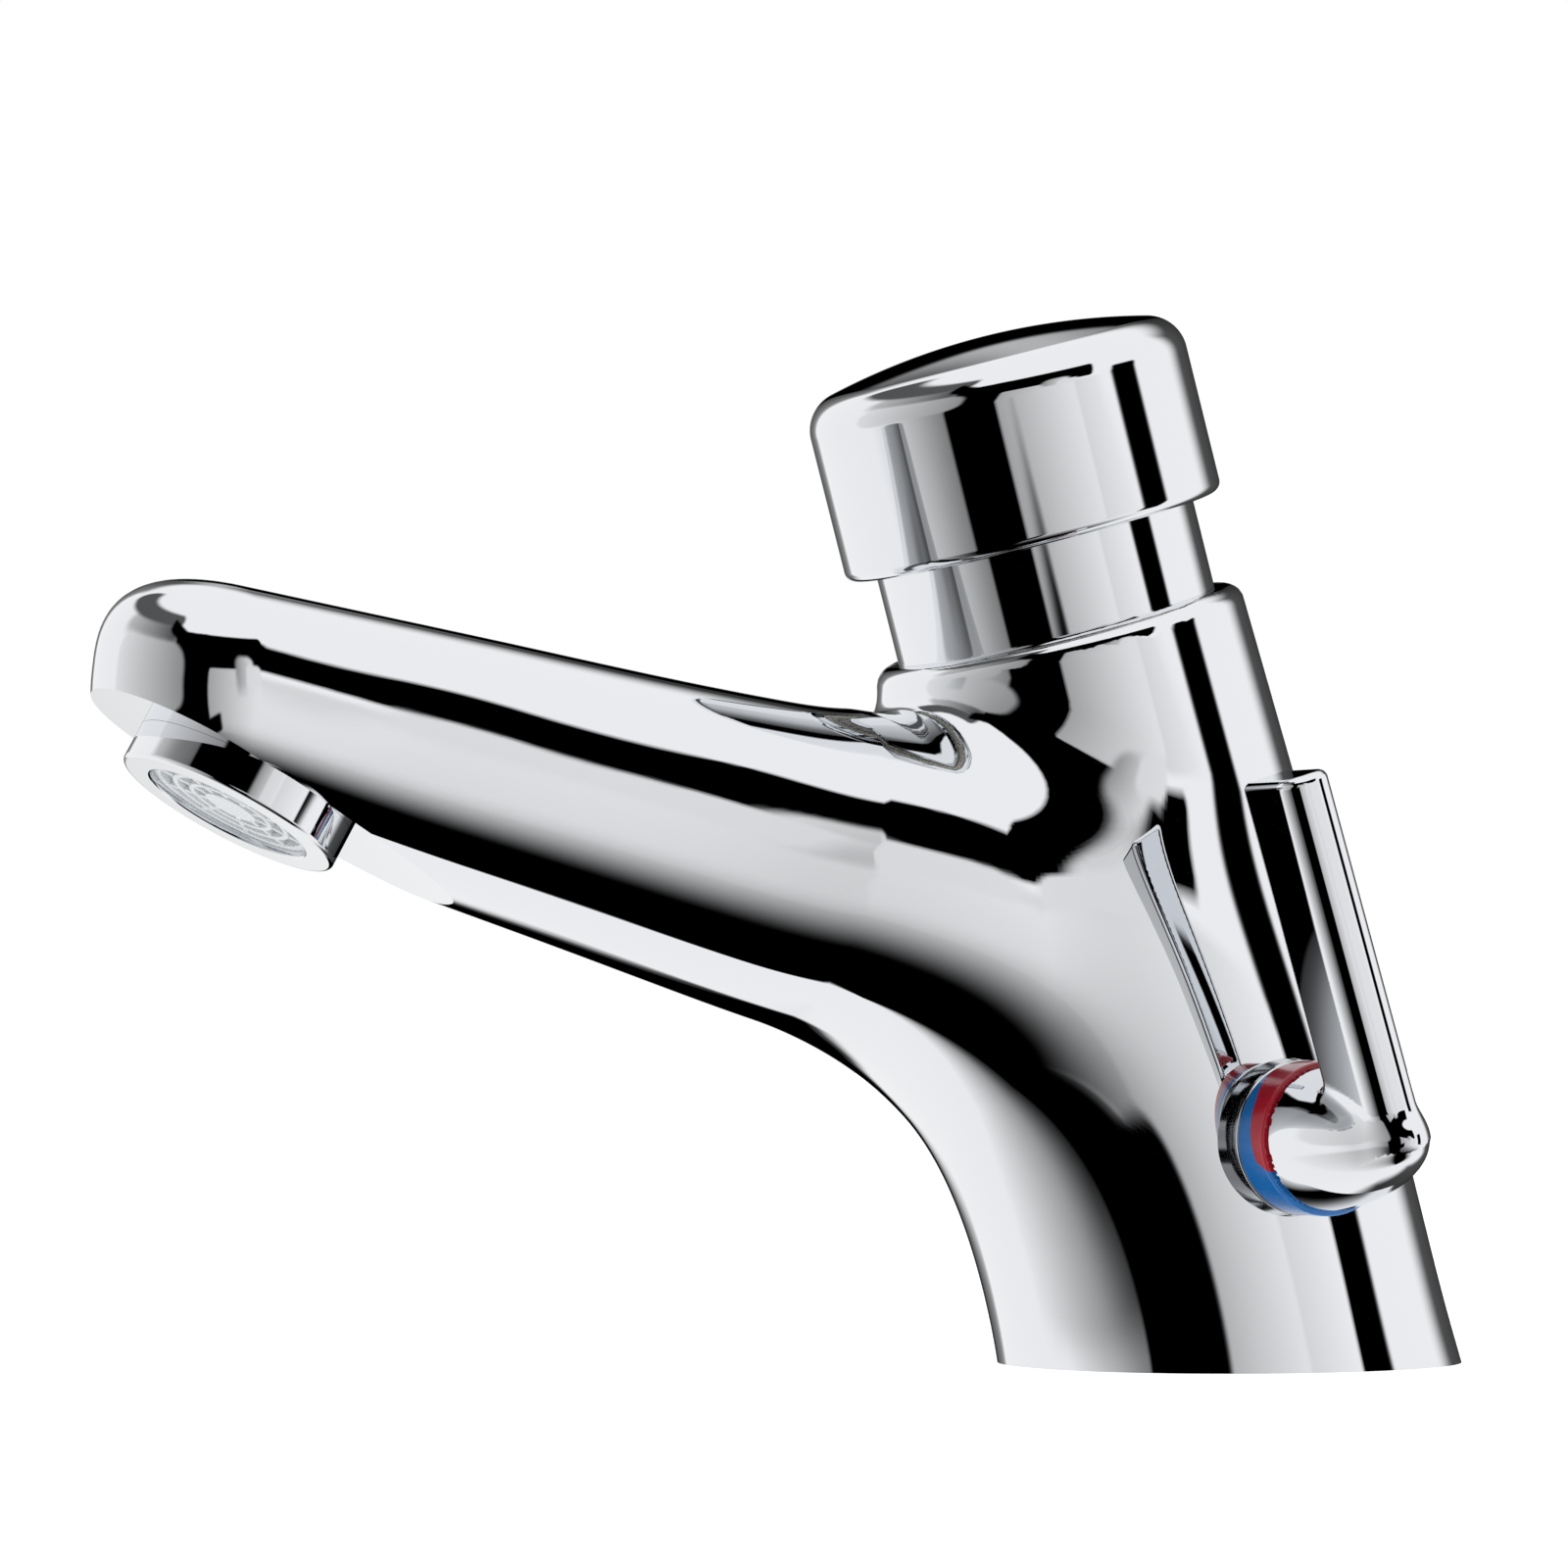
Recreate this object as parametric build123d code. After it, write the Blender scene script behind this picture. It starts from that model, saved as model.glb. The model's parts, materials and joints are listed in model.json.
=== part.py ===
from build123d import *
import math
import os

# Push timed basin mixer: a leaning round barrel with a rising spout, a push button on
# top that starts the timed flow, and a lever on the side that sets the temperature.
# Millimetres. The origin is the centre of the base on the deck, +Z is up, the spout
# points along -Y and the lever stands on the +X side.

# Fits and allowances
running_gap = 0.06
fit_gap = 0.05
loose_gap = 0.3
seat_gap = 0.02
overrun = 10.0

# Barrel of the casting
lean_angle = 15.7
barrel_base_radius = 24.9
barrel_taper = 3.2
barrel_height = 88.8
barrel_edge_round = 1.6
blend_round = 4.0

# Throat under the spout: an arc about a point in front of the base
throat_radius = 44.0
throat_centre_reach = 72.0
throat_centre_depth = 88.5
throat_angle_shares = (0.0, 0.223, 0.459, 0.696, 0.897)
throat_near_shares = (1.036, 1.014, 1.0, 1.0, 1.0)
throat_far_shares = (1.955, 2.02, 2.09, 2.07, 1.895)
throat_width_shares = (0.88, 0.91, 0.93, 0.9, 0.83)
throat_powers = (2.1, 2.1, 2.1, 2.2, 2.25)
throat_end_angle = 75.7

# Spout
outlet_reach = 124.1
crotch_reach = 55.7
crotch_drop = 10.4
spout_top_angle = 9.9
spout_under_angle = 18.6
spout_rise_angle = 14.3
spout_place_shares = (0.141, 0.379, 0.649, 0.882)
spout_width_shares = (1.27, 1.165, 1.075, 1.012)
spout_powers = (2.3, 2.35, 2.45, 2.55)
nose_radius = 13.6
nose_offset = 1.5
nose_angles = (0, 8, 17, 27, 37, 47, 57, 66, 74, 81, 87)
nose_foot_share = 0.15
nose_power = 2.6
outline_points = 16

# Outlet
outlet_angle = 29.4
land_lift = 5.4
land_rear_length = 30.0
outlet_thread_radius = 11.5
outlet_thread_depth = 9.0
outlet_chamber_radius = 9.0
outlet_chamber_depth = 4.0
waterway_radius = 6.0

# Aerator
shell_radius = 12.85
shell_height = 4.4
shell_wall = 1.6
shell_edge_round = 0.5
shell_spigot_height = 7.2
shell_lip = 0.8
washer_lap = 0.85
insert_ring_count = 3
insert_ring_width = 0.7
insert_groove_depth = 0.8
insert_rib_count = 10
insert_rib_width = 0.7
insert_hub_radius = 1.7
regulator_height = 3.0
regulator_hole_radius = 1.1
regulator_hole_count = 6

# Neck sleeve, which screws into the barrel and clamps the timing cartridge
sleeve_ledge = 2.9
sleeve_seat_depth = 4.0
sleeve_rise = 19.2
sleeve_wall = 2.0
sleeve_edge_round = 0.6
sleeve_thread_step = 1.4
sleeve_thread_length = 6.3
sleeve_thread_wall = 2.8
sleeve_lip = 1.2

# Timing cartridge
cartridge_flange_lap = 2.0
cartridge_flange_height = 2.2
cartridge_wall = 2.8
cartridge_floor = 4.0
cartridge_port_radius = 5.0
side_port_radius = 2.2
side_port_count = 6
side_port_rise = 7.0
water_groove_height = 6.5
water_groove_depth = 1.6
cartridge_ring_radius = 0.8
cartridge_ring_rises = (2.0, 13.0)
cover_height = 4.0

# Push button and what moves with it
button_travel = 7.0
cap_overhang = 0.6
cap_lift = 10.7
cap_height = 23.6
cap_side_height = 17.0
cap_shoulder_round = 4.6
cap_rim_round = 1.2
cap_wall = 2.0
cap_boss_radius = 6.0
cap_boss_length = 8.5
cap_guide_height = 6.0
cap_guide_inset = 1.6
rod_radius = 3.0
rod_thread_radius = 2.4
rod_thread_length = 6.0
lock_nut_radius = 4.6
lock_nut_height = 2.6
piston_top_gap = 4.5
piston_height = 6.0
piston_side_gap = 0.6
piston_ring_height = 2.6
piston_ring_depth = 2.2
valve_disc_radius = 8.0
valve_disc_height = 2.8
valve_pad_height = 1.0
valve_chamber_gap = 1.2
button_spring_wire = 0.8
button_spring_turns = 8
rod_ring_radius = 0.8

# Mixing bore in the side of the barrel
hub_rise = 27.7
lever_lean_angle = 17.2
mixing_bore_radius = 8.95
mixing_bore_depth = 18.7
chamber_wall = 2.2
disc_seal_height = 1.0
disc_side_gap = 0.65
disc_height = 3.0
disc_port_radius = 1.7
disc_port_offset = 4.6
driver_step = 0.3
driver_height = 2.8
driver_pin_radius = 1.0
driver_pin_offset = 6.2
driver_pin_length = 1.5
spindle_radius = 3.5
spindle_lap = 8.05
spindle_flat_depth = 0.7

# Gland that holds the spindle and carries the temperature ring
gland_neck_step = 1.35
gland_thread_inset = 1.0
gland_stand_off = 3.7
gland_flange_height = 0.9
gland_flange_radius = 8.75
gland_nose_radius = 5.5
gland_edge_round = 0.25
spindle_ring_radius = 0.75
spindle_ring_inset = 3.0
stop_recess_wall = 1.0
stop_ring_height = 1.8
stop_dog_angle = 30
stop_spare_angle = 4
lever_swing = 45

# Temperature ring, in a red and a blue half
ring_radius = 8.7
ring_length = 5.5
ring_edge_round = 0.35
ring_split_height_shares = (-1.2, -0.42, -0.3, 0.0, 0.5, 0.94, 1.2)
ring_split_place_shares = (1.0, 1.0, 0.66, 0.56, 0.42, 0.0, 0.0)

# Temperature lever
lever_start_gap = 0.45
lever_hub_radius = 8.15
lever_hub_length = 18.3
lever_shoulder_length = 6.6
lever_shoulder_drop = 0.65
lever_tip_radius = 4.1
lever_bar_inset = 1.2
lever_bar_depth = 10.6
lever_bar_width = 6.2
lever_bar_length = 42.0
lever_outer_round = 2.6
lever_inner_round = 1.0
lever_top_round = 1.0
grub_screw_place = 4.0
grub_screw_radius = 2.0
grub_screw_length = 3.8
grub_socket_radius = 1.0
grub_socket_depth = 2.0

# Water inlets in the underside
inlet_x = -6.0
inlet_ys = (10.0, -8.0)
inlet_radius = 4.6
inlet_thread_length = 8.0
valve_bore_step = 0.3
inlet_depth = 17.2
inlet_head_radius = 3.2
inlet_head_depth = 1.6
channel_radius = 2.0
filter_height = 1.2
filter_hole_radius = 0.45
filter_ring_radii = (1.5, 3.0)
filter_ring_counts = (6, 12)
valve_body_height = 7.2
valve_body_wall = 1.2
valve_plate_height = 0.8
valve_seat_radius = 1.9
valve_guide_radius = 0.86
valve_flow_radius = 0.6
valve_flow_offset = 2.1
valve_flow_count = 6
poppet_radius = 2.7
poppet_height = 1.0
poppet_stem_radius = 0.8
poppet_stem_spare = 0.4
poppet_travel = 1.5
poppet_spring_radius = 1.5
poppet_spring_wire = 0.22
poppet_spring_turns = 5

# Fixing holes and gasket in the underside
stud_margin = 1.0
stud_radius = 2.5
stud_depth = 12.0
gasket_rim_width = 1.8
gasket_width = 2.1
gasket_height = 2.0

lean = math.radians(lean_angle)
axis_frame = Plane(origin=(0, 0, 0), x_dir=(1, 0, 0), z_dir=(0, -math.sin(lean), math.cos(lean)))

# Radii from the barrel inwards
barrel_top_radius = barrel_base_radius - barrel_taper
sleeve_radius = barrel_top_radius - sleeve_ledge
sleeve_thread_radius = sleeve_radius - sleeve_thread_step
sleeve_thread_bore = sleeve_thread_radius - sleeve_thread_wall
cartridge_radius = sleeve_thread_radius - cartridge_flange_lap
cartridge_bore_radius = cartridge_radius - cartridge_wall
piston_radius = cartridge_bore_radius - piston_side_gap
cap_radius = barrel_top_radius + cap_overhang
button_spring_radius = (cap_boss_radius + sleeve_thread_bore - sleeve_lip) / 2
valve_chamber_radius = valve_disc_radius + valve_chamber_gap
disc_radius = mixing_bore_radius - disc_side_gap
driver_radius = disc_radius - driver_step
gland_neck_radius = mixing_bore_radius - gland_neck_step
stop_recess_radius = gland_neck_radius - stop_recess_wall
valve_bore_radius = inlet_radius - valve_bore_step
gasket_outer_radius = barrel_base_radius - gasket_rim_width
gasket_inner_radius = gasket_outer_radius - gasket_width
stud_offset = gasket_inner_radius - stud_radius - stud_margin

lever_lean = math.radians(lever_lean_angle)
hub_centre = (0, -hub_rise * math.sin(lean), hub_rise * math.cos(lean))
hub_frame = Plane(
    origin=hub_centre,
    x_dir=(0, -math.sin(lever_lean), math.cos(lever_lean)),
    z_dir=(1, 0, 0),
)


def on_axis(shape):
    """Move a shape from local height to the leaning barrel axis."""
    return axis_frame.location * shape


def on_hub(shape):
    """Move a shape from local height to the lever's axis; local X runs up the lever."""
    return hub_frame.location * shape


def rod(radius, low, high):
    """Round bar about local Z from low to high."""
    return Pos(0, 0, (low + high) / 2) * Cylinder(radius, high - low)


def tube(outer, inner, low, high):
    """Round tube about local Z from low to high."""
    bore = rod(inner, low - overrun, high + overrun)
    return rod(outer, low, high) - bore


def turned(points):
    """Solid turned about local Z from radius and height pairs."""
    outline = Polyline(*[(radius, 0, height) for radius, height in points], close=True)
    return revolve(make_face(outline), Axis.Z)


def between(start, end, radius):
    """Round bar from one point to another."""
    start = Vector(*start)
    end = Vector(*end)
    run = end - start
    frame = Plane(origin=start, z_dir=run)
    return frame.location * rod(radius, 0, run.length)


def around(shape, count):
    """Copies of a shape, evenly spaced about local Z."""
    return [Rot(0, 0, turn * 360 / count) * shape for turn in range(count)]


def o_ring(mid_radius, section_radius, height):
    """Rubber ring about local Z."""
    return Pos(0, 0, height) * Torus(mid_radius, section_radius)


def coil(mid_radius, wire_radius, low, high, turns):
    """Spring about local Z, one unbroken wire whose ends lie on low and high."""
    start = low + wire_radius
    rise = high - low - 2 * wire_radius
    path = Helix(rise / turns, rise, mid_radius)
    section = Plane(origin=path @ 0, z_dir=path % 0) * Circle(wire_radius)
    return Pos(0, 0, start) * sweep(section, path=path, is_frenet=True)


def one(shape):
    """The shape as one plain solid."""
    solids = shape.solids()
    return solids[0] if len(solids) == 1 else Compound(solids)


pieces = {}


def keep(name, shape):
    """Hold a finished piece under its node name."""
    pieces[name] = shape


def outline(low, high, half_width, power):
    """Closed smooth outline across the symmetry plane between two of its points."""
    low = Vector(0, *low)
    high = Vector(0, *high)
    middle = (low + high) * 0.5
    half_height = (high - low) * 0.5
    points = []
    for step in range(outline_points):
        turn = 2 * math.pi * step / outline_points - math.pi / 2
        across = math.cos(turn)
        along = math.sin(turn)
        scale = (abs(across) ** power + abs(along) ** power) ** (-1 / power)
        points.append(middle + half_height * (scale * along) + Vector(half_width * scale * across, 0, 0))
    return make_face(Spline(*points, periodic=True))


# Heights of the throat's arc and of the crotch, which follow the barrel's top
throat_centre_height = barrel_height * math.cos(lean) - throat_centre_depth
crotch_height = barrel_height * math.cos(lean) - crotch_drop
foot_near = throat_near_shares[0] * throat_radius
throat_foot_angle = -math.degrees(math.asin((throat_centre_height + overrun) / foot_near))


def throat_section(angle_share, near_share, far_share, width_share, power):
    """Outline in a plane through the centre of the throat's arc."""
    turn = math.radians(throat_foot_angle + angle_share * (throat_end_angle - throat_foot_angle))
    near = near_share * throat_radius
    far = far_share * throat_radius
    low = (near * math.cos(turn) - throat_centre_reach, near * math.sin(turn) + throat_centre_height)
    high = (far * math.cos(turn) - throat_centre_reach, far * math.sin(turn) + throat_centre_height)
    return outline(low, high, width_share * barrel_base_radius, power)


def under_height(reach):
    """Height of the spout's underside line at a distance in front of the axis."""
    turn = math.radians(throat_end_angle)
    start_reach = throat_centre_reach - throat_radius * math.cos(turn)
    start_height = throat_radius * math.sin(turn) + throat_centre_height
    return start_height + (reach - start_reach) * math.tan(math.radians(spout_under_angle))


def top_height(reach):
    """Height of the spout's top line at a distance in front of the axis."""
    return crotch_height + (reach - crotch_reach) * math.tan(math.radians(spout_top_angle))


def spout_section(place_share, width_share, power):
    """Outline square to the spout, at a share of the way from the throat to the outlet."""
    start_reach = throat_centre_reach - throat_radius * math.cos(math.radians(throat_end_angle))
    reach = start_reach + place_share * (outlet_reach - start_reach)
    low_height = under_height(reach)
    turn = math.radians(spout_rise_angle)
    fall = math.tan(math.radians(spout_top_angle))
    length = (top_height(reach) - low_height) / (math.cos(turn) + fall * math.sin(turn))
    low = (-reach, low_height)
    high = (-reach + length * math.sin(turn), low_height + length * math.cos(turn))
    return outline(low, high, width_share * nose_radius, power)


# Places along the leaning axis
sleeve_foot = barrel_height - sleeve_seat_depth
sleeve_bottom = sleeve_foot - sleeve_thread_length
sleeve_top = barrel_height + sleeve_rise
flange_low = sleeve_bottom - cartridge_flange_height
valve_chamber_low = hub_rise + mixing_bore_radius + chamber_wall
valve_top = valve_chamber_low + loose_gap + button_travel + valve_disc_height
cartridge_low = valve_top + seat_gap
cartridge_inside = cartridge_low + cartridge_floor
cover_top = sleeve_bottom + cover_height
cap_low = barrel_height + cap_lift
cap_top = cap_low + cap_height
cap_inside = cap_low + cap_side_height + cap_shoulder_round - cap_wall
boss_low = cap_inside - cap_boss_length
side_port_height = cartridge_low + side_port_rise

# Places along the lever's axis
hub_surface = barrel_base_radius - barrel_taper * hub_rise / barrel_height
mixing_bore_floor = hub_surface - mixing_bore_depth
disc_low = mixing_bore_floor + disc_seal_height
turning_low = disc_low + disc_height + seat_gap
driver_low = turning_low + disc_height
driver_high = driver_low + driver_height
gland_start = driver_high + running_gap
gland_thread_end = hub_surface - gland_thread_inset
gland_flange_start = hub_surface + gland_stand_off
spindle_ring_place = gland_flange_start - spindle_ring_inset
gland_nose_end = gland_flange_start + gland_flange_height + ring_length
lever_start = gland_nose_end + lever_start_gap
lever_end = lever_start + lever_hub_length
spindle_reach = lever_start + spindle_lap

# Outlet frame: its local Z points out of the spout
outlet_turn = math.radians(outlet_angle)
outlet_height = under_height(outlet_reach) + land_lift
outlet_frame = Plane(
    origin=(0, -outlet_reach, outlet_height),
    x_dir=(1, 0, 0),
    z_dir=(0, -math.sin(outlet_turn), -math.cos(outlet_turn)),
)


def on_outlet(shape):
    """Move a shape to the outlet; local height zero is the flat land, positive is out."""
    return outlet_frame.location * shape


def barrel_radius(height):
    """Radius of the barrel's taper at a height along its axis."""
    return barrel_base_radius - barrel_taper * height / barrel_height


def nose_sections():
    """Outlines square to the spout's top line that close the nose, round in plan."""
    reach = outlet_reach + nose_offset
    turn = math.radians(spout_top_angle)
    forward = Vector(0, -math.cos(turn), math.sin(turn))
    upward = Vector(0, math.sin(turn), math.cos(turn))
    high = Vector(0, -reach, top_height(reach))
    foot_reach = reach + nose_foot_share * nose_radius
    half_height = (high.Z - under_height(foot_reach)) / math.cos(turn) / 2
    middle = high - upward * half_height
    sections = []
    for angle in nose_angles:
        out = math.sin(math.radians(angle))
        centre = middle + forward * (nose_radius * out)
        rise = upward * (half_height * (1 - out ** nose_power) ** (1 / nose_power))
        low = centre - rise
        high = centre + rise
        half_width = nose_radius * math.cos(math.radians(angle))
        sections.append(outline((low.Y, low.Z), (high.Y, high.Z), half_width, nose_power))
    return sections


def spout_form():
    """Throat and spout as one lofted form, closed by the lofted nose."""
    rows = zip(throat_angle_shares, throat_near_shares, throat_far_shares, throat_width_shares, throat_powers)
    sections = [throat_section(*row) for row in rows]
    rows = zip(spout_place_shares, spout_width_shares, spout_powers)
    sections += [spout_section(*row) for row in rows]
    nose = nose_sections()
    return loft([*sections, nose[0]]) + loft(nose)


def body_casting():
    """Barrel, throat and spout in one casting, with its bores and waterways."""
    low = -overrun
    barrel = Cone(barrel_radius(low), barrel_top_radius, barrel_height - low)
    barrel = Pos(0, 0, (low + barrel_height) / 2) * barrel
    barrel = fillet(barrel.edges().group_by(Axis.Z)[-1], barrel_edge_round)
    span = 4 * outlet_reach
    ground = Pos(0, 0, -span / 2) * Box(span, span, span)
    barrel = on_axis(barrel) - ground
    spout = spout_form() - ground
    body = barrel + spout
    body = fillet(new_edges(barrel, spout, combined=body), blend_round)
    land = Box(4 * nose_radius, land_rear_length + 2 * nose_radius, 2 * barrel_base_radius)
    land = Pos(0, (land_rear_length - 2 * nose_radius) / 2, barrel_base_radius) * land
    body -= on_outlet(land)
    return body


def cut_bores(body):
    """Cut the top bore, mixing bore, inlets, waterways and underside details."""
    body -= on_axis(rod(sleeve_radius + fit_gap, sleeve_foot, barrel_height + overrun))
    body -= on_axis(rod(sleeve_thread_radius + fit_gap, flange_low, sleeve_foot + fit_gap))
    body -= on_axis(rod(cartridge_radius + fit_gap, cartridge_low, flange_low + fit_gap))
    body -= on_axis(rod(valve_chamber_radius, valve_chamber_low, cartridge_low + fit_gap))
    groove_low = side_port_height - water_groove_height / 2
    groove = rod(cartridge_radius + water_groove_depth, groove_low, groove_low + water_groove_height)
    body -= on_axis(groove)
    body -= on_hub(rod(mixing_bore_radius, mixing_bore_floor, 2 * barrel_base_radius))
    body -= on_outlet(rod(outlet_thread_radius + fit_gap, -outlet_thread_depth, overrun))
    chamber_top = outlet_thread_depth + outlet_chamber_depth
    body -= on_outlet(rod(outlet_chamber_radius, -chamber_top, -outlet_thread_depth + fit_gap))
    start = axis_frame.from_local_coords(Vector(0, -cartridge_radius, side_port_height))
    end = outlet_frame.from_local_coords(Vector(0, 0, -outlet_thread_depth - outlet_chamber_depth / 2))
    body -= between(tuple(start), tuple(end), waterway_radius)
    body -= mixing_channels()
    for y in inlet_ys:
        body -= Pos(inlet_x, y, 0) * rod(inlet_radius, -overrun, inlet_thread_length + loose_gap)
        body -= Pos(inlet_x, y, 0) * rod(valve_bore_radius, 0, inlet_depth)
        body -= Pos(inlet_x, y, 0) * rod(inlet_head_radius, 0, inlet_depth + inlet_head_depth)
    for side in (-1, 1):
        body -= Pos(0, side * stud_offset, 0) * rod(stud_radius, -overrun, stud_depth)
    groove = tube(gasket_outer_radius + fit_gap, gasket_inner_radius - fit_gap, -overrun, gasket_height)
    body -= groove
    return body


def mixing_channels():
    """Drillings from each inlet to the fixed disc, and from the disc to the valve chamber."""
    drillings = []
    for y, side in zip(inlet_ys, (-1, 1)):
        port = hub_frame.from_local_coords(Vector(0, side * disc_port_offset, mixing_bore_floor + fit_gap))
        drillings.append(between((inlet_x, y, inlet_depth), tuple(port), channel_radius))
    port = hub_frame.from_local_coords(Vector(disc_port_offset, 0, mixing_bore_floor + fit_gap))
    chamber = axis_frame.from_local_coords(Vector(0, 0, valve_chamber_low + fit_gap))
    drillings.append(between(tuple(port), tuple(chamber), channel_radius))
    return drillings


def aerator():
    """Ring shell screwed into the spout, with its insert, regulator and washer."""
    outer = rod(shell_radius, seat_gap, shell_height)
    outer = fillet(outer.edges().group_by(Axis.Z)[-1], shell_edge_round)
    bore = outlet_thread_radius - shell_wall
    shell = outer + rod(outlet_thread_radius, -shell_spigot_height, seat_gap)
    shell -= rod(bore, -shell_spigot_height - overrun, shell_height - shell_lip)
    shell -= rod(bore - shell_lip / 2, 0, shell_height + overrun)
    keep("aerator_shell", on_outlet(shell))

    lip_under = shell_height - shell_lip - seat_gap
    insert_radius = bore - fit_gap
    washer_high = -shell_spigot_height - seat_gap
    regulator_low = washer_high + seat_gap
    regulator_high = regulator_low + regulator_height
    insert_low = regulator_high + seat_gap
    insert = rod(insert_radius, insert_low, lip_under)
    pitch = (insert_radius - insert_hub_radius) / (insert_ring_count + 1)
    for ring in range(insert_ring_count):
        middle = insert_hub_radius + pitch * (ring + 1)
        half = (pitch - insert_ring_width) / 2
        insert -= tube(middle + half, middle - half, lip_under - insert_groove_depth, lip_under + overrun)
    ribs = []
    rib_length = insert_radius - pitch
    for rib in around(Pos(rib_length / 2, 0, 0) * Box(rib_length, insert_rib_width, insert_groove_depth), insert_rib_count):
        ribs.append(Pos(0, 0, lip_under - insert_groove_depth / 2) * rib)
    insert = insert + ribs
    keep("flow_straightener", on_outlet(insert))

    regulator = rod(insert_radius, regulator_low, regulator_high)
    hole = Pos(insert_radius / 2, 0, 0) * rod(regulator_hole_radius, regulator_low - overrun, lip_under)
    regulator -= around(hole, regulator_hole_count)
    keep("flow_regulator", on_outlet(regulator))

    washer_low = seat_gap - outlet_thread_depth
    washer = tube(outlet_thread_radius - fit_gap, bore - washer_lap, washer_low, washer_high)
    keep("aerator_washer", on_outlet(washer))


def neck():
    """Chromed sleeve that screws into the barrel and holds the cartridge down."""
    inner = sleeve_radius - sleeve_wall
    outside = rod(sleeve_radius, sleeve_foot + seat_gap, sleeve_top)
    outside = fillet(outside.edges().group_by(Axis.Z)[-1], sleeve_edge_round)
    sleeve = outside + rod(sleeve_thread_radius, sleeve_bottom, sleeve_foot + seat_gap)
    sleeve -= rod(sleeve_thread_bore, sleeve_bottom - overrun, cover_top + seat_gap)
    sleeve -= rod(sleeve_thread_bore - sleeve_lip, sleeve_bottom, barrel_height + fit_gap)
    sleeve -= rod(inner, barrel_height, sleeve_top + overrun)
    keep("neck_sleeve", on_axis(sleeve))


def cartridge():
    """Timing cartridge: housing, cover, and their seals."""
    flange_radius = sleeve_thread_radius - fit_gap
    housing = rod(cartridge_radius, cartridge_low + seat_gap, sleeve_bottom - seat_gap)
    housing += rod(flange_radius, flange_low + seat_gap, sleeve_bottom - seat_gap)
    housing -= rod(cartridge_bore_radius, cartridge_inside, sleeve_bottom + overrun)
    housing -= rod(cartridge_port_radius, cartridge_low - overrun, cartridge_inside + fit_gap)
    port = Pos(0, 0, side_port_height) * Rot(0, 90, 0) * rod(side_port_radius, 0, cartridge_radius + overrun)
    housing -= around(port, side_port_count)
    rings = []
    ring_middle = cartridge_radius - cartridge_ring_radius + fit_gap / 2
    for rise in cartridge_ring_rises:
        height = cartridge_low + rise
        reach = cartridge_ring_radius + fit_gap
        inner = ring_middle - reach
        housing -= tube(cartridge_radius + overrun, inner, height - reach, height + reach)
        rings.append(on_axis(o_ring(ring_middle, cartridge_ring_radius, height)))
    keep("cartridge_housing", on_axis(housing))
    keep("cartridge_o_rings", Compound([one(ring) for ring in rings]))

    cover = rod(sleeve_thread_bore - fit_gap, sleeve_bottom, cover_top)
    cover -= rod(rod_radius + running_gap, sleeve_bottom - overrun, cover_top + overrun)
    seal_height = (sleeve_bottom + cover_top) / 2
    seal_middle = rod_radius + running_gap + rod_ring_radius
    reach = rod_ring_radius + seat_gap
    cover -= tube(seal_middle + reach, rod_radius, seal_height - reach, seal_height + reach)
    keep("cartridge_cover", on_axis(cover))
    keep("rod_o_ring", on_axis(o_ring(seal_middle, rod_ring_radius, seal_height)))


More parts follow.
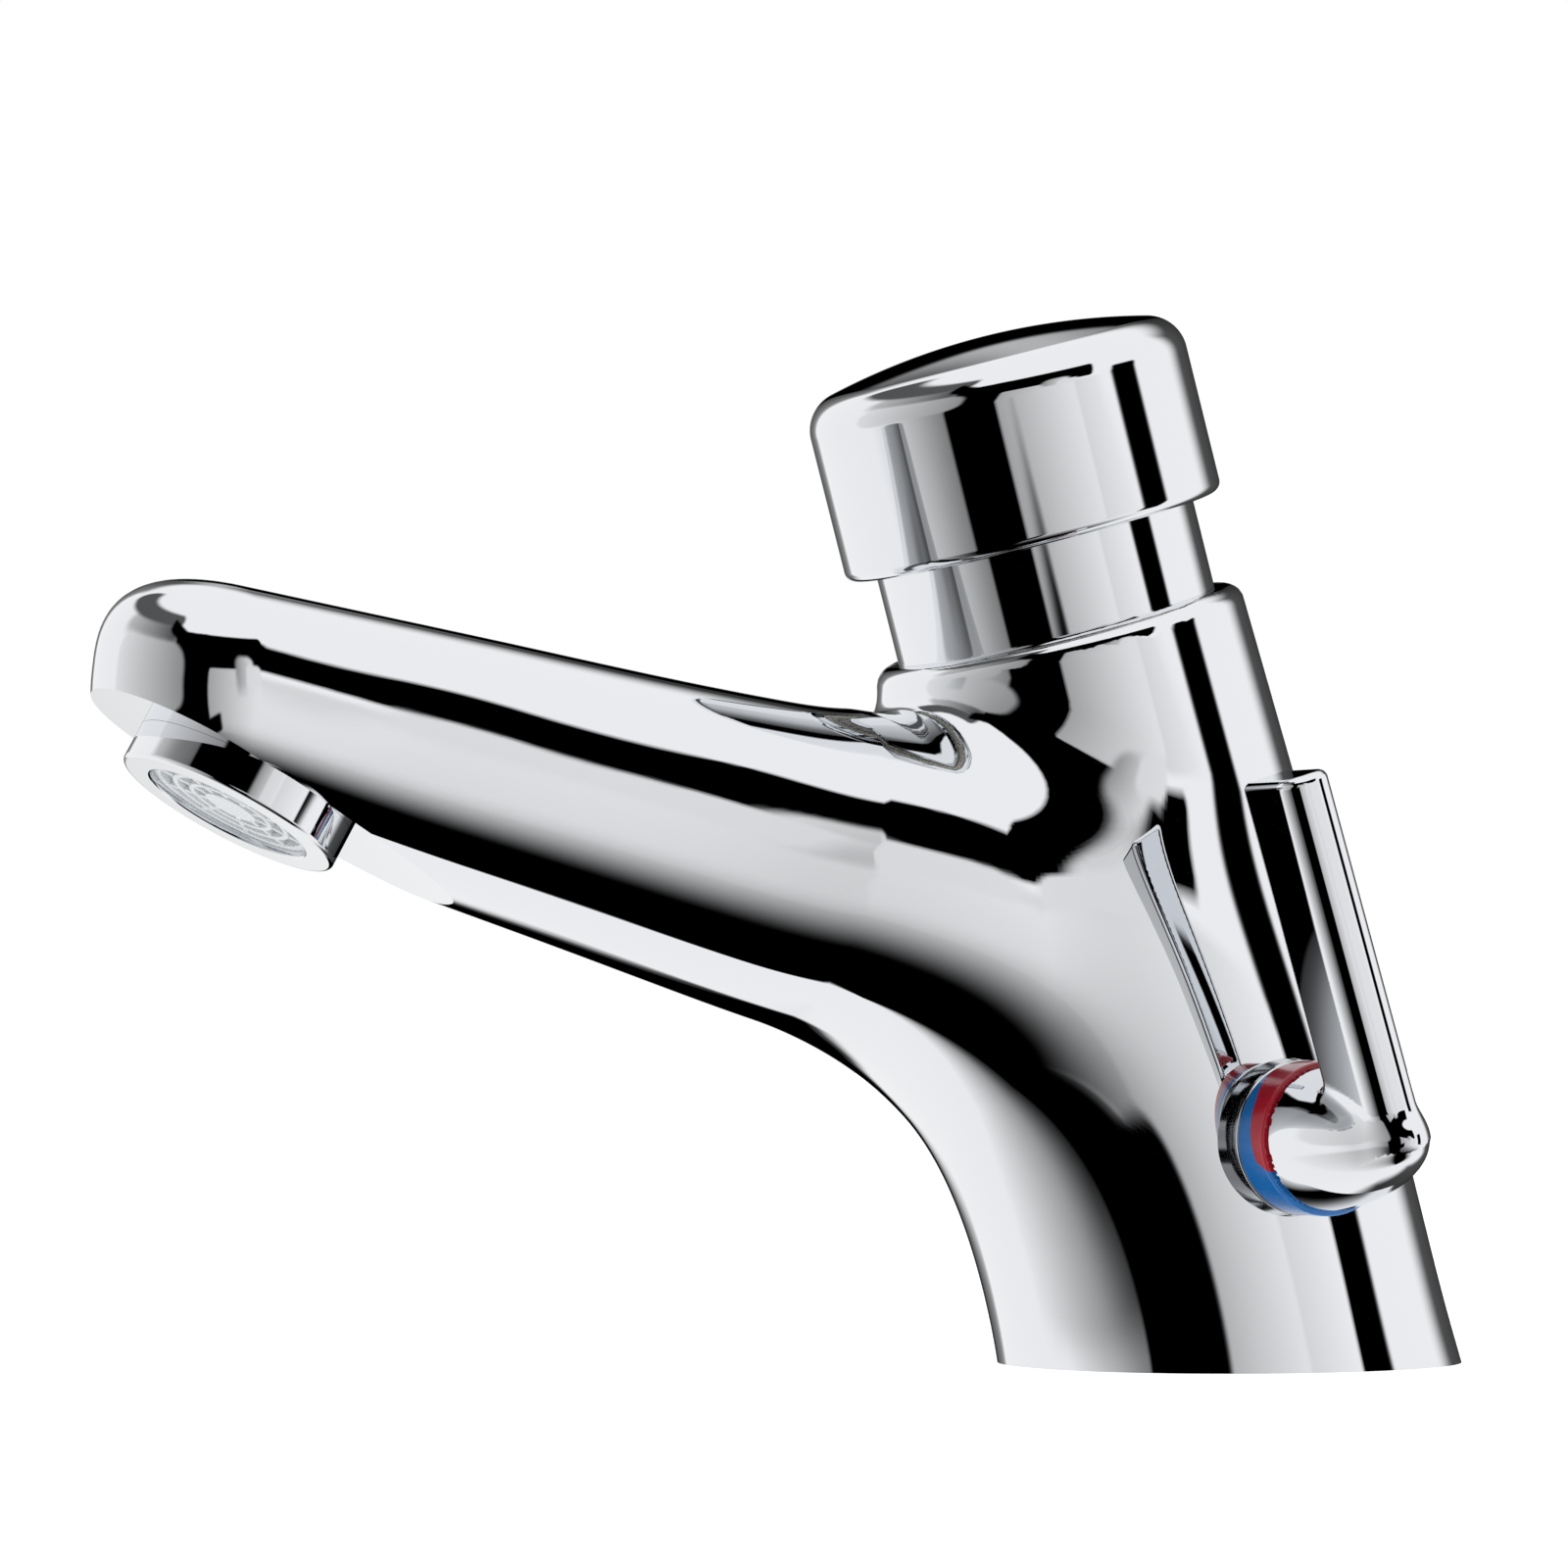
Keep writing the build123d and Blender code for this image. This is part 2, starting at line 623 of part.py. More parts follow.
def button():
    """Cap, guide bush, rod, piston and valve, which all move together."""
    side_top = cap_low + cap_side_height
    inner_radius = cap_radius - cap_wall
    dome_run = cap_radius - cap_shoulder_round
    dome_rise = cap_top - side_top - cap_shoulder_round
    dome_radius = (dome_run ** 2 + dome_rise ** 2) / (2 * dome_rise)
    dome_turn = math.asin(dome_run / dome_radius)
    shoulder = (dome_run + cap_shoulder_round * math.sin(dome_turn),
                side_top + cap_shoulder_round * math.cos(dome_turn))
    shoulder_mid = (dome_run + cap_shoulder_round * math.sin((dome_turn + math.pi / 2) / 2),
                    side_top + cap_shoulder_round * math.cos((dome_turn + math.pi / 2) / 2))
    crown = (0, shoulder[1] + dome_radius * (1 - math.cos(math.asin(shoulder[0] / dome_radius))))
    half_run = math.asin(shoulder[0] / dome_radius) / 2
    crown_mid = (dome_radius * math.sin(half_run), crown[1] - dome_radius * (1 - math.cos(half_run)))
    edges = [
        Line((0, cap_low), (cap_radius, cap_low)),
        Line((cap_radius, cap_low), (cap_radius, side_top)),
        ThreePointArc((cap_radius, side_top), shoulder_mid, shoulder),
        ThreePointArc(shoulder, crown_mid, crown),
        Line(crown, (0, cap_low)),
    ]
    cap = revolve(Plane.XZ * make_face(Wire(edges)), Axis.Z)
    cap = fillet(cap.edges().group_by(Axis.Z)[0], cap_rim_round)
    cap -= rod(inner_radius, cap_low - overrun, cap_inside)
    cap += rod(cap_boss_radius, boss_low, cap_inside + fit_gap)
    cap -= rod(rod_thread_radius + fit_gap, boss_low - overrun, boss_low + rod_thread_length + loose_gap)
    keep("push_button_cap", on_axis(cap))

    guide_low = cap_low + cap_guide_inset
    guide = tube(inner_radius - fit_gap, sleeve_radius + running_gap, guide_low, guide_low + cap_guide_height)
    keep("cap_guide_bush", on_axis(guide))

    shank = rod(rod_radius, valve_top - valve_disc_height, boss_low)
    shank += rod(rod_thread_radius, boss_low, boss_low + rod_thread_length)
    keep("piston_rod", on_axis(shank))

    nut_low = boss_low - lock_nut_height - seat_gap
    nut = extrude(Pos(0, 0, nut_low) * RegularPolygon(lock_nut_radius, 6), lock_nut_height)
    nut -= rod(rod_radius + seat_gap, nut_low - overrun, boss_low)
    keep("rod_lock_nut", on_axis(nut))

    piston_low = sleeve_bottom - piston_top_gap - piston_height
    piston = tube(piston_radius, rod_radius + seat_gap, piston_low, piston_low + piston_height)
    ring_low = piston_low + (piston_height - piston_ring_height) / 2
    ring_inner = piston_radius - piston_ring_depth
    piston -= tube(piston_radius + overrun, ring_inner, ring_low, ring_low + piston_ring_height)
    keep("piston", on_axis(piston))
    seal_outer = cartridge_bore_radius - running_gap
    seal = tube(seal_outer, ring_inner + seat_gap, ring_low + seat_gap, ring_low + piston_ring_height - seat_gap)
    keep("piston_lip_seal", on_axis(seal))

    pad_low = valve_top - valve_pad_height
    disc = tube(valve_disc_radius, rod_radius + seat_gap, valve_top - valve_disc_height, pad_low - seat_gap)
    keep("valve_disc", on_axis(disc))
    pad = tube(valve_disc_radius, rod_radius + seat_gap, pad_low, valve_top)
    keep("valve_pad", on_axis(pad))

    spring = coil(button_spring_radius, button_spring_wire, cover_top + seat_gap, cap_inside - seat_gap, button_spring_turns)
    keep("button_spring", on_axis(spring))


def mixing_valve():
    """Ceramic discs, their seal, and the spindle that turns them."""
    seal = rod(disc_radius, mixing_bore_floor, disc_low - seat_gap)
    fixed = rod(disc_radius, disc_low, disc_low + disc_height)
    inlet_ports = [
        Pos(0, side * disc_port_offset, 0) * rod(disc_port_radius, 0, driver_low + overrun)
        for side in (-1, 1)
    ]
    outlet_port = Pos(disc_port_offset, 0, 0) * rod(disc_port_radius, 0, driver_low + overrun)
    for port in (*inlet_ports, outlet_port):
        seal -= port
        fixed -= port
    keep("disc_seal", on_hub(seal))
    keep("fixed_ceramic_disc", on_hub(fixed))

    turning = rod(disc_radius, turning_low, driver_low)
    hollow = Pos(disc_port_offset / 2, 0, 0) * rod(disc_port_offset, turning_low - overrun, turning_low + disc_height / 2)
    turning -= hollow
    drive_holes = [
        Pos(-driver_pin_offset * math.cos(turn), driver_pin_offset * math.sin(turn), 0)
        * rod(driver_pin_radius + fit_gap, driver_low - driver_pin_length - fit_gap, driver_low + overrun)
        for turn in (-math.pi / 4, math.pi / 4)
    ]
    for hole in drive_holes:
        turning -= hole
    keep("turning_ceramic_disc", on_hub(turning))

    spindle = rod(driver_radius, driver_low + seat_gap, driver_high)
    for turn in (-math.pi / 4, math.pi / 4):
        pin = rod(driver_pin_radius, driver_low - driver_pin_length, driver_low + fit_gap)
        spindle += Pos(-driver_pin_offset * math.cos(turn), driver_pin_offset * math.sin(turn), 0) * pin
    spindle += rod(spindle_radius, driver_high - fit_gap, spindle_reach)
    flat_low = lever_start - fit_gap
    flat = Box(2 * spindle_radius, 2 * spindle_radius, spindle_reach - flat_low + overrun)
    flat_place = 2 * spindle_radius - spindle_flat_depth
    spindle -= Pos(0, -flat_place, (flat_low + spindle_reach + overrun) / 2) * flat
    dog = stop_sector(stop_dog_angle, driver_high - fit_gap, gland_start + stop_ring_height)
    spindle += dog
    keep("mixer_spindle", on_hub(spindle))


def stop_sector(angle, low, high):
    """Ring sector about local Z, centred on local X, between the spindle and the recess."""
    ring = tube(stop_recess_radius - loose_gap, spindle_radius - fit_gap, low, high)
    reach = 2 * stop_recess_radius
    half = math.radians(angle / 2)
    wedge = Polyline(
        (0, 0),
        (reach * math.cos(half), -reach * math.sin(half)),
        (reach * math.cos(half), reach * math.sin(half)),
        close=True,
    )
    return ring & extrude(Pos(0, 0, low) * make_face(wedge), high - low)


def gland():
    """Nut that holds the spindle in the barrel, its seal and the temperature stop."""
    flange_end = gland_flange_start + gland_flange_height
    flange = rod(gland_flange_radius, gland_flange_start, flange_end)
    flange = fillet(flange.edges().filter_by(GeomType.CIRCLE), gland_edge_round)
    nut = rod(mixing_bore_radius - fit_gap, gland_start, gland_thread_end)
    nut += rod(gland_neck_radius, gland_start, gland_flange_start + seat_gap)
    nut += flange
    nut += rod(gland_nose_radius, gland_flange_start, gland_nose_end - loose_gap)
    nut -= rod(spindle_radius + running_gap, gland_start - overrun, gland_nose_end + overrun)
    recess_end = gland_start + stop_ring_height + loose_gap
    nut -= rod(stop_recess_radius, gland_start - overrun, recess_end)
    ring_middle = spindle_radius + running_gap + spindle_ring_radius
    reach = spindle_ring_radius + seat_gap
    nut -= tube(ring_middle + reach, spindle_radius, spindle_ring_place - reach, spindle_ring_place + reach)
    keep("gland_nut", on_hub(nut))
    keep("spindle_o_ring", on_hub(o_ring(ring_middle, spindle_ring_radius, spindle_ring_place)))

    stop = tube(stop_recess_radius - fit_gap, spindle_radius + running_gap, gland_start, gland_start + stop_ring_height)
    gap_half = math.radians(lever_swing + stop_dog_angle / 2 + stop_spare_angle)
    reach = 2 * stop_recess_radius
    side = (reach * math.cos(gap_half), reach * math.sin(gap_half))
    opening = Polyline((0, 0), (side[0], -side[1]), (reach, -side[1]), (reach, side[1]), side, close=True)
    low = gland_start - overrun
    stop -= extrude(Pos(0, 0, low) * make_face(opening), stop_ring_height + 2 * overrun)
    keep("temperature_stop", on_hub(stop))


def temperature_ring():
    """Plastic ring in a blue and a red part, which meet on a slanting line."""
    low = gland_flange_start + gland_flange_height + seat_gap
    high = low + ring_length - seat_gap
    ring = rod(ring_radius, low, high)
    ring = fillet(ring.edges().filter_by(GeomType.CIRCLE), ring_edge_round)
    ring -= rod(gland_nose_radius + fit_gap, low - overrun, high + overrun)
    ring = Pos(*hub_centre) * Rot(0, 90, 0) * ring
    points = []
    for height_share, place_share in zip(ring_split_height_shares, ring_split_place_shares):
        points.append((low + place_share * ring_length, height_share * ring_radius))
    inside = low - 2 * ring_length
    side = Polyline((inside, points[0][1]), *points, (inside, points[-1][1]), close=True)
    cutter = extrude(Plane.XZ * make_face(side), 2 * ring_radius, both=True)
    cutter = Pos(*hub_centre) * cutter
    keep("temperature_ring_blue", one(ring & cutter))
    keep("temperature_ring_red", one(ring - cutter))


def lever():
    """L-shaped lever: a hub with a long rounded end, and a bar beside the barrel."""
    shoulder = (lever_hub_radius - lever_shoulder_drop, lever_start + lever_shoulder_length)
    curve = Bezier((lever_hub_radius, lever_start), shoulder, (lever_tip_radius, lever_end), (0, lever_end))
    foot = Polyline((0, lever_end), (0, lever_start), (lever_hub_radius, lever_start))
    hub = revolve(Plane.XZ * make_face(Wire([*curve.edges(), *foot.edges()])), Axis.Z)
    bar = Box(lever_bar_length, lever_bar_width, lever_bar_depth)
    long_edges = bar.edges().filter_by(Axis.X)
    bar = fillet(long_edges.group_by(Axis.Z)[-1], lever_outer_round)
    bar = fillet(bar.edges().filter_by(Axis.X).group_by(Axis.Z)[0], lever_inner_round)
    bar = fillet(bar.edges().group_by(Axis.X)[-1], lever_top_round)
    bar = Pos(lever_bar_length / 2, 0, lever_end - lever_bar_inset - lever_bar_depth / 2) * bar
    form = hub + bar
    bore_end = spindle_reach + loose_gap
    form -= rod(spindle_radius + seat_gap, lever_start - overrun, bore_end)
    key = Box(2 * spindle_radius, spindle_flat_depth, bore_end - lever_start)
    key_place = spindle_radius - spindle_flat_depth / 2 + seat_gap
    key_form = Pos(0, -key_place, (lever_start + bore_end) / 2) * key
    form += key_form & rod(spindle_radius + seat_gap + fit_gap, lever_start, bore_end)
    side = Pos(0, 0, lever_start + grub_screw_place) * Rot(90, 0, 0)
    form -= side * rod(grub_screw_radius + fit_gap, 0, lever_hub_radius + overrun)
    keep("temperature_lever", on_hub(form))
    screw_low = spindle_radius - spindle_flat_depth + 2 * seat_gap
    screw_high = screw_low + grub_screw_length
    screw = rod(grub_screw_radius, screw_low, screw_high)
    socket = extrude(Pos(0, 0, screw_high - grub_socket_depth) * RegularPolygon(grub_socket_radius, 6), overrun)
    screw -= socket
    keep("lever_grub_screw", on_hub(side * screw))


def inlet(name, y):
    """Filter and check valve in one water inlet."""
    place = Pos(inlet_x, y, 0)
    filter_low = inlet_thread_length + loose_gap + seat_gap
    outer = valve_bore_radius - fit_gap
    strainer = rod(outer, filter_low, filter_low + filter_height)
    for radius, count in zip(filter_ring_radii, filter_ring_counts):
        hole = Pos(radius, 0, 0) * rod(filter_hole_radius, filter_low - overrun, filter_low + overrun)
        strainer -= around(hole, count)
    keep(name + "_inlet_filter", place * strainer)

    low = filter_low + filter_height + seat_gap
    high = low + valve_body_height
    plate_low = high - valve_plate_height
    body = rod(outer, low, high)
    body -= rod(outer - valve_body_wall, low + valve_plate_height, plate_low)
    body -= rod(valve_seat_radius, low - overrun, low + overrun / 2)
    body -= rod(valve_guide_radius, low, high + overrun)
    flow_hole = Pos(valve_flow_offset, 0, 0) * rod(valve_flow_radius, plate_low - seat_gap, high + overrun)
    body -= around(flow_hole, valve_flow_count)
    keep(name + "_check_valve_body", place * body)

    poppet_low = low + valve_plate_height + seat_gap
    poppet = rod(poppet_radius, poppet_low, poppet_low + poppet_height)
    poppet += rod(poppet_stem_radius, poppet_low, plate_low + poppet_stem_spare)
    keep(name + "_check_valve_poppet", place * poppet)
    spring_low = poppet_low + poppet_height + seat_gap
    spring = coil(poppet_spring_radius, poppet_spring_wire, spring_low, plate_low - seat_gap, poppet_spring_turns)
    keep(name + "_check_valve_spring", place * spring)


def base_gasket():
    """Flat rubber ring in the underside."""
    keep("base_gasket", tube(gasket_outer_radius, gasket_inner_radius, 0, gasket_height - seat_gap))


keep("body_casting", cut_bores(body_casting()))
aerator()
neck()
cartridge()
button()
mixing_valve()
gland()
temperature_ring()
lever()
for inlet_name, inlet_y in zip(("hot", "cold"), inlet_ys):
    inlet(inlet_name, inlet_y)
base_gasket()

os.makedirs("parts", exist_ok=True)
for node, shape in pieces.items():
    export_step(shape, "parts/" + node + ".step")

spring_pitch = (cap_inside - cover_top - 2 * button_spring_wire) / button_spring_turns
print("least gap in the button spring", round(spring_pitch - 2 * button_spring_wire, 2))
print("hub axis", [round(v, 3) for v in hub_centre])
print("outlet", round(-outlet_reach, 2), round(outlet_height, 2))
print("cap top", round(cap_top, 2), "valve chamber", round(valve_chamber_low, 2), "lever end", round(lever_end, 2))
print("button spring fixed end", round(cover_top, 3), "check valve plate", round(
    inlet_thread_length + loose_gap + filter_height + seat_gap + valve_body_height - valve_plate_height, 3))
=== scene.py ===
"""Looks of a push timed basin mixer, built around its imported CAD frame.

Lengths in the classes are millimetres in the frame's own axes: +Z is up, the spout
points along -Y and the temperature lever stands on the +X side.
"""

from __future__ import annotations

import json
import logging
import math
from dataclasses import dataclass, field
from enum import Enum
from functools import cache
from itertools import product
from typing import Callable, Iterable, Sequence

import bpy
import numpy as np
from mathutils import Matrix, Vector

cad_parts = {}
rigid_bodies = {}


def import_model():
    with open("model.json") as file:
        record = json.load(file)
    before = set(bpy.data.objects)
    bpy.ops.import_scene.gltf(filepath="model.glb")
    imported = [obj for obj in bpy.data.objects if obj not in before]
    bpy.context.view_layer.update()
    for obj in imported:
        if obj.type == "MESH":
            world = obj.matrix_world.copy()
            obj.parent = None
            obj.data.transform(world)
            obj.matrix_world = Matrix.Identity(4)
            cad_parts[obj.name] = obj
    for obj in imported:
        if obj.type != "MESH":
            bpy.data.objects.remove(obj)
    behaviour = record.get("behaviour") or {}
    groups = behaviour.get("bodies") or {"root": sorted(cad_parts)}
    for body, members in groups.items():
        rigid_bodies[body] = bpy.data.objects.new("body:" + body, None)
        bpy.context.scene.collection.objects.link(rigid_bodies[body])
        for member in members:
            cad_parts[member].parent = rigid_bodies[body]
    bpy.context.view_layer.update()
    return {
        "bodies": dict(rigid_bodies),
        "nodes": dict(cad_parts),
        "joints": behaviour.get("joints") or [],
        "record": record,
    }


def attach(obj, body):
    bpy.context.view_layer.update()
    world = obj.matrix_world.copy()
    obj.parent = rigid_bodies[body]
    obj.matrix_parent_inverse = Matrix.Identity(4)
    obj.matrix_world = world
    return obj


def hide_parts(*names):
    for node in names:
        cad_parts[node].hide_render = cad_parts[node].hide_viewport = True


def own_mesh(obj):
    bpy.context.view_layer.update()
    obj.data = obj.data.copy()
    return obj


LOG = logging.getLogger("mixer")
MM = 0.001
TINY = 1e-9
WHITE = "FFFFFF"
Field = Callable[[np.ndarray], np.ndarray]
Nodes = bpy.types.NodeTree
Socket = bpy.types.NodeSocket
Object = bpy.types.Object


class Body(Enum):
    """The rigid bodies that the pieces ride on."""

    CASTING = "casting"
    BUTTON = "push_button"
    LEVER = "lever"


class Cut(Enum):
    """What stays of a mesh after a cutter has been used on it."""

    OUTSIDE = "DIFFERENCE"
    INSIDE = "INTERSECT"


# Colours and materials


def linear(code: str) -> tuple[float, float, float, float]:
    """Turn an sRGB hex colour into the linear colour that a shader takes.

    Args:
        code: Six hex digits, such as "C8CACC".

    Returns:
        Linear red, green, blue and an alpha of one.
    """
    parts = [int(code[place : place + 2], 16) / 255 for place in (0, 2, 4)]
    lin = [p / 12.92 if p <= 0.04045 else ((p + 0.055) / 1.055) ** 2.4 for p in parts]
    return (*lin, 1.0)


def add_node(
    tree: Nodes, kind: str, settings: dict | None = None, links: dict | None = None
) -> bpy.types.Node:
    """Add one node with its settings and links.

    Args:
        tree: The node tree.
        kind: The node's type name.
        settings: Socket values by input name or index, and node properties with a leading dot.
        links: Output sockets by the name or index of the input that they feed.

    Returns:
        The new node.
    """
    node = tree.nodes.new(kind)
    for name, value in (settings or {}).items():
        if isinstance(name, str) and name.startswith("."):
            setattr(node, name[1:], value)
        else:
            node.inputs[name].default_value = value
    for name, socket in (links or {}).items():
        tree.links.new(socket, node.inputs[name])
    return node


def empty_material(name: str) -> bpy.types.Material:
    """Make a material whose node tree is still empty."""
    made = bpy.data.materials.new(name)
    made.use_nodes = True
    made.node_tree.nodes.clear()
    return made


@dataclass(frozen=True)
class Finish:
    """A surface finish with a faint grain in its roughness and its relief."""

    name: str
    colour: str
    metallic: float = 0.0
    roughness: float = 0.3
    roughness_spread: float = 0.05
    grain_mm: float = 2.0
    relief_mm: float = 0.0
    relief_strength: float = 0.3
    stretch: tuple[float, float, float] = (1.0, 1.0, 1.0)
    coat: float = 0.0
    shade: str = ""
    grain_detail: float = 3.0
    grain_roughness: float = 0.55

    @cache
    def material(self) -> bpy.types.Material:
        """Build the node material once; the frame's own materials are never taken for it."""
        made = empty_material(self.name)
        tree = made.node_tree
        place = add_node(tree, "ShaderNodeTexCoord").outputs["Object"]
        scaled = add_node(tree, "ShaderNodeMapping", {"Scale": self.stretch}, {"Vector": place})
        grain = {
            "Scale": 1.0 / (self.grain_mm * MM),
            "Detail": self.grain_detail,
            "Roughness": self.grain_roughness,
        }
        spot = {"Vector": scaled.outputs["Vector"]}
        noise = add_node(tree, "ShaderNodeTexNoise", grain, spot).outputs["Fac"]
        low, high = max(self.roughness - self.roughness_spread, 0.0), self.roughness + self.roughness_spread
        rough = add_node(tree, "ShaderNodeMapRange", {"To Min": low, "To Max": high}, {"Value": noise})
        surface = {"Base Color": linear(self.colour), "Metallic": self.metallic, "Coat Weight": self.coat}
        shader = add_node(tree, "ShaderNodeBsdfPrincipled", surface, {"Roughness": rough.outputs["Result"]})
        if self.shade:
            colours = {".data_type": "RGBA", 6: linear(self.colour), 7: linear(self.shade)}
            mix = add_node(tree, "ShaderNodeMix", colours, {0: noise})
            tree.links.new(mix.outputs[2], shader.inputs["Base Color"])
        if self.relief_mm:
            relief = {"Strength": self.relief_strength, "Distance": self.relief_mm * MM}
            bump = add_node(tree, "ShaderNodeBump", relief, {"Height": noise})
            tree.links.new(bump.outputs["Normal"], shader.inputs["Normal"])
        add_node(tree, "ShaderNodeOutputMaterial", {}, {"Surface": shader.outputs["BSDF"]})
        return made


# Bright chromium over nickel on polished brass: a cool, near white mirror.
CHROME = Finish("bright_chromium", "E9EBEE", 1.0, 0.012, 0.006, 9.0)
# The same plating on small screwed parts, a little less polished.
GLAND_CHROME = Finish("turned_chromium", "D9DBDE", 1.0, 0.09, 0.03, 2.0)
# Turned brass: warm yellow metal with fine rings from the tool.
BRASS = Finish("turned_brass", "C9A452", 1.0, 0.25, 0.08, 0.5, 0.01)
# Drawn stainless steel: grey metal with lines along its length.
STEEL = Finish("drawn_stainless_steel", "A9A9AC", 1.0, 0.3, 0.08, 0.6, 0.01)
# Drawn spring wire: darker, with a thin oil film.
SPRING_STEEL = Finish("spring_steel_wire", "8B8B90", 1.0, 0.32, 0.08, 0.4, 0.01)
# Moulded nitrile rubber: black with a dull bloom.
RUBBER = Finish("nitrile_rubber", "141414", 0.0, 0.65, 0.1, 0.8, 0.02, 0.3, shade="1E1E1E")
# Lapped alumina ceramic: off-white and almost as smooth as glass.
CERAMIC = Finish("lapped_alumina", "F0EEE6", 0.0, 0.12, 0.03, 1.0)
# Moulded acetal: ivory with a soft sheen.
ACETAL = Finish("moulded_acetal", "DDD8CA", 0.0, 0.38, 0.06, 1.0, 0.01, 0.2, shade="D3CDBD")
# White acetal of the check valves.
WHITE_ACETAL = Finish("white_acetal", "ECECEC", 0.0, 0.36, 0.06, 1.0, 0.01, 0.2)
# Translucent pale grey plastic of the outlet's insert.
GREY_PLASTIC = Finish("moulded_grey_acetal", "C9CCCE", 0.0, 0.34, 0.06, 0.8, 0.01, 0.2, shade="BFC3C6")
# Glossy ABS, coloured through, with a clear shine.
BLUE_ABS = Finish("blue_abs", "1B6BB5", 0.0, 0.22, 0.05, 1.5, 0.01, 0.15, coat=0.3, shade="175F9F")
RED_ABS = Finish("red_abs", "B01C2E", 0.0, 0.22, 0.05, 1.5, 0.01, 0.15, coat=0.3, shade="991626")

FINISHED_NODES: dict[Finish, tuple[str, ...]] = {
    CHROME: (
        "body_casting",
        "neck_sleeve",
        "push_button_cap",
        "temperature_lever",
        "aerator_shell",
    ),
    GLAND_CHROME: ("gland_nut",),
    BRASS: ("piston", "mixer_spindle", "rod_lock_nut", "valve_disc"),
    STEEL: ("piston_rod", "lever_grub_screw", "hot_inlet_filter", "cold_inlet_filter"),
    SPRING_STEEL: ("button_spring", "hot_check_valve_spring", "cold_check_valve_spring"),
    RUBBER: (
        "cartridge_o_rings",
        "rod_o_ring",
        "spindle_o_ring",
        "disc_seal",
        "base_gasket",
        "aerator_washer",
        "piston_lip_seal",
        "valve_pad",
    ),
    CERAMIC: ("fixed_ceramic_disc", "turning_ceramic_disc"),
    ACETAL: ("cartridge_housing", "cartridge_cover", "cap_guide_bush", "temperature_stop"),
    WHITE_ACETAL: (
        "hot_check_valve_body",
        "cold_check_valve_body",
        "hot_check_valve_poppet",
        "cold_check_valve_poppet",
    ),
    GREY_PLASTIC: ("flow_straightener", "flow_regulator"),
    BLUE_ABS: ("temperature_ring_blue",),
    RED_ABS: ("temperature_ring_red",),
}


def dress(obj: Object, finish: Finish) -> None:
    """Give every material slot of an object one finish."""
    made = finish.material()
    if not obj.material_slots:
        obj.data.materials.append(made)
    for place in obj.material_slots:
        place.material = made


# Shapes from fields: a field is below zero inside the shape, in millimetres


def cubic_through(places: Sequence[float], values: Sequence[float]) -> Callable[[np.ndarray], np.ndarray]:
    """Natural cubic spline through a few points, straight beyond its ends.

    Args:
        places: Rising places.
        values: Values at the places.

    Returns:
        A function of an array of places.
    """
    x = np.asarray(places, float)
    y = np.asarray(values, float)
    gaps = np.diff(x)
    slopes = np.diff(y) / gaps
    count = len(x)
    matrix = np.eye(count)
    right = np.zeros(count)
    for i in range(1, count - 1):
        matrix[i, i - 1 : i + 2] = gaps[i - 1], 2 * (gaps[i - 1] + gaps[i]), gaps[i]
        right[i] = 6 * (slopes[i] - slopes[i - 1])
    bends = np.linalg.solve(matrix, right)

    def evaluate(at: np.ndarray) -> np.ndarray:
        """Value of the spline at each place."""
        inside = np.clip(at, x[0], x[-1])
        i = np.clip(np.searchsorted(x, inside) - 1, 0, count - 2)
        h = gaps[i]
        a = (x[i + 1] - inside) / h
        b = 1 - a
        curve = a * y[i] + b * y[i + 1] + ((a**3 - a) * bends[i] + (b**3 - b) * bends[i + 1]) * h * h / 6
        first = slopes[0] - gaps[0] * bends[1] / 6
        last = slopes[-1] + gaps[-1] * bends[-2] / 6
        return curve + np.minimum(at - x[0], 0) * first + np.maximum(at - x[-1], 0) * last

    return evaluate


def gradient(shape: Field, points: np.ndarray, step: float = 0.02) -> np.ndarray:
    """Slope of a field at points, by central differences.

    Args:
        shape: The field.
        points: Rows of X, Y and Z in millimetres.
        step: Half the distance between the two samples.

    Returns:
        One slope vector for each point.
    """
    slopes = np.empty_like(points)
    for axis in range(3):
        move = np.zeros(3)
        move[axis] = step
        slopes[:, axis] = (shape(points + move) - shape(points - move)) / (2 * step)
    return slopes


def smooth_least(a: np.ndarray, b: np.ndarray, width: np.ndarray | float) -> np.ndarray:
    """The lesser of two fields, rounded where they are within a width of each other."""
    share = np.clip(0.5 + 0.5 * (b - a) / width, 0, 1)
    return b + (a - b) * share - width * share * (1 - share)


def rounded_most(a: np.ndarray, b: np.ndarray, corner: np.ndarray | float) -> np.ndarray:
    """The greater of two distances, with a round edge where they meet."""
    a, b = a + corner, b + corner
    return np.minimum(np.maximum(a, b), 0) + np.hypot(np.maximum(a, 0), np.maximum(b, 0)) - corner


def smooth_step(share: np.ndarray) -> np.ndarray:
    """Share from zero to one that starts and ends softly."""
    share = np.clip(share, 0, 1)
    return share * share * (3 - 2 * share)


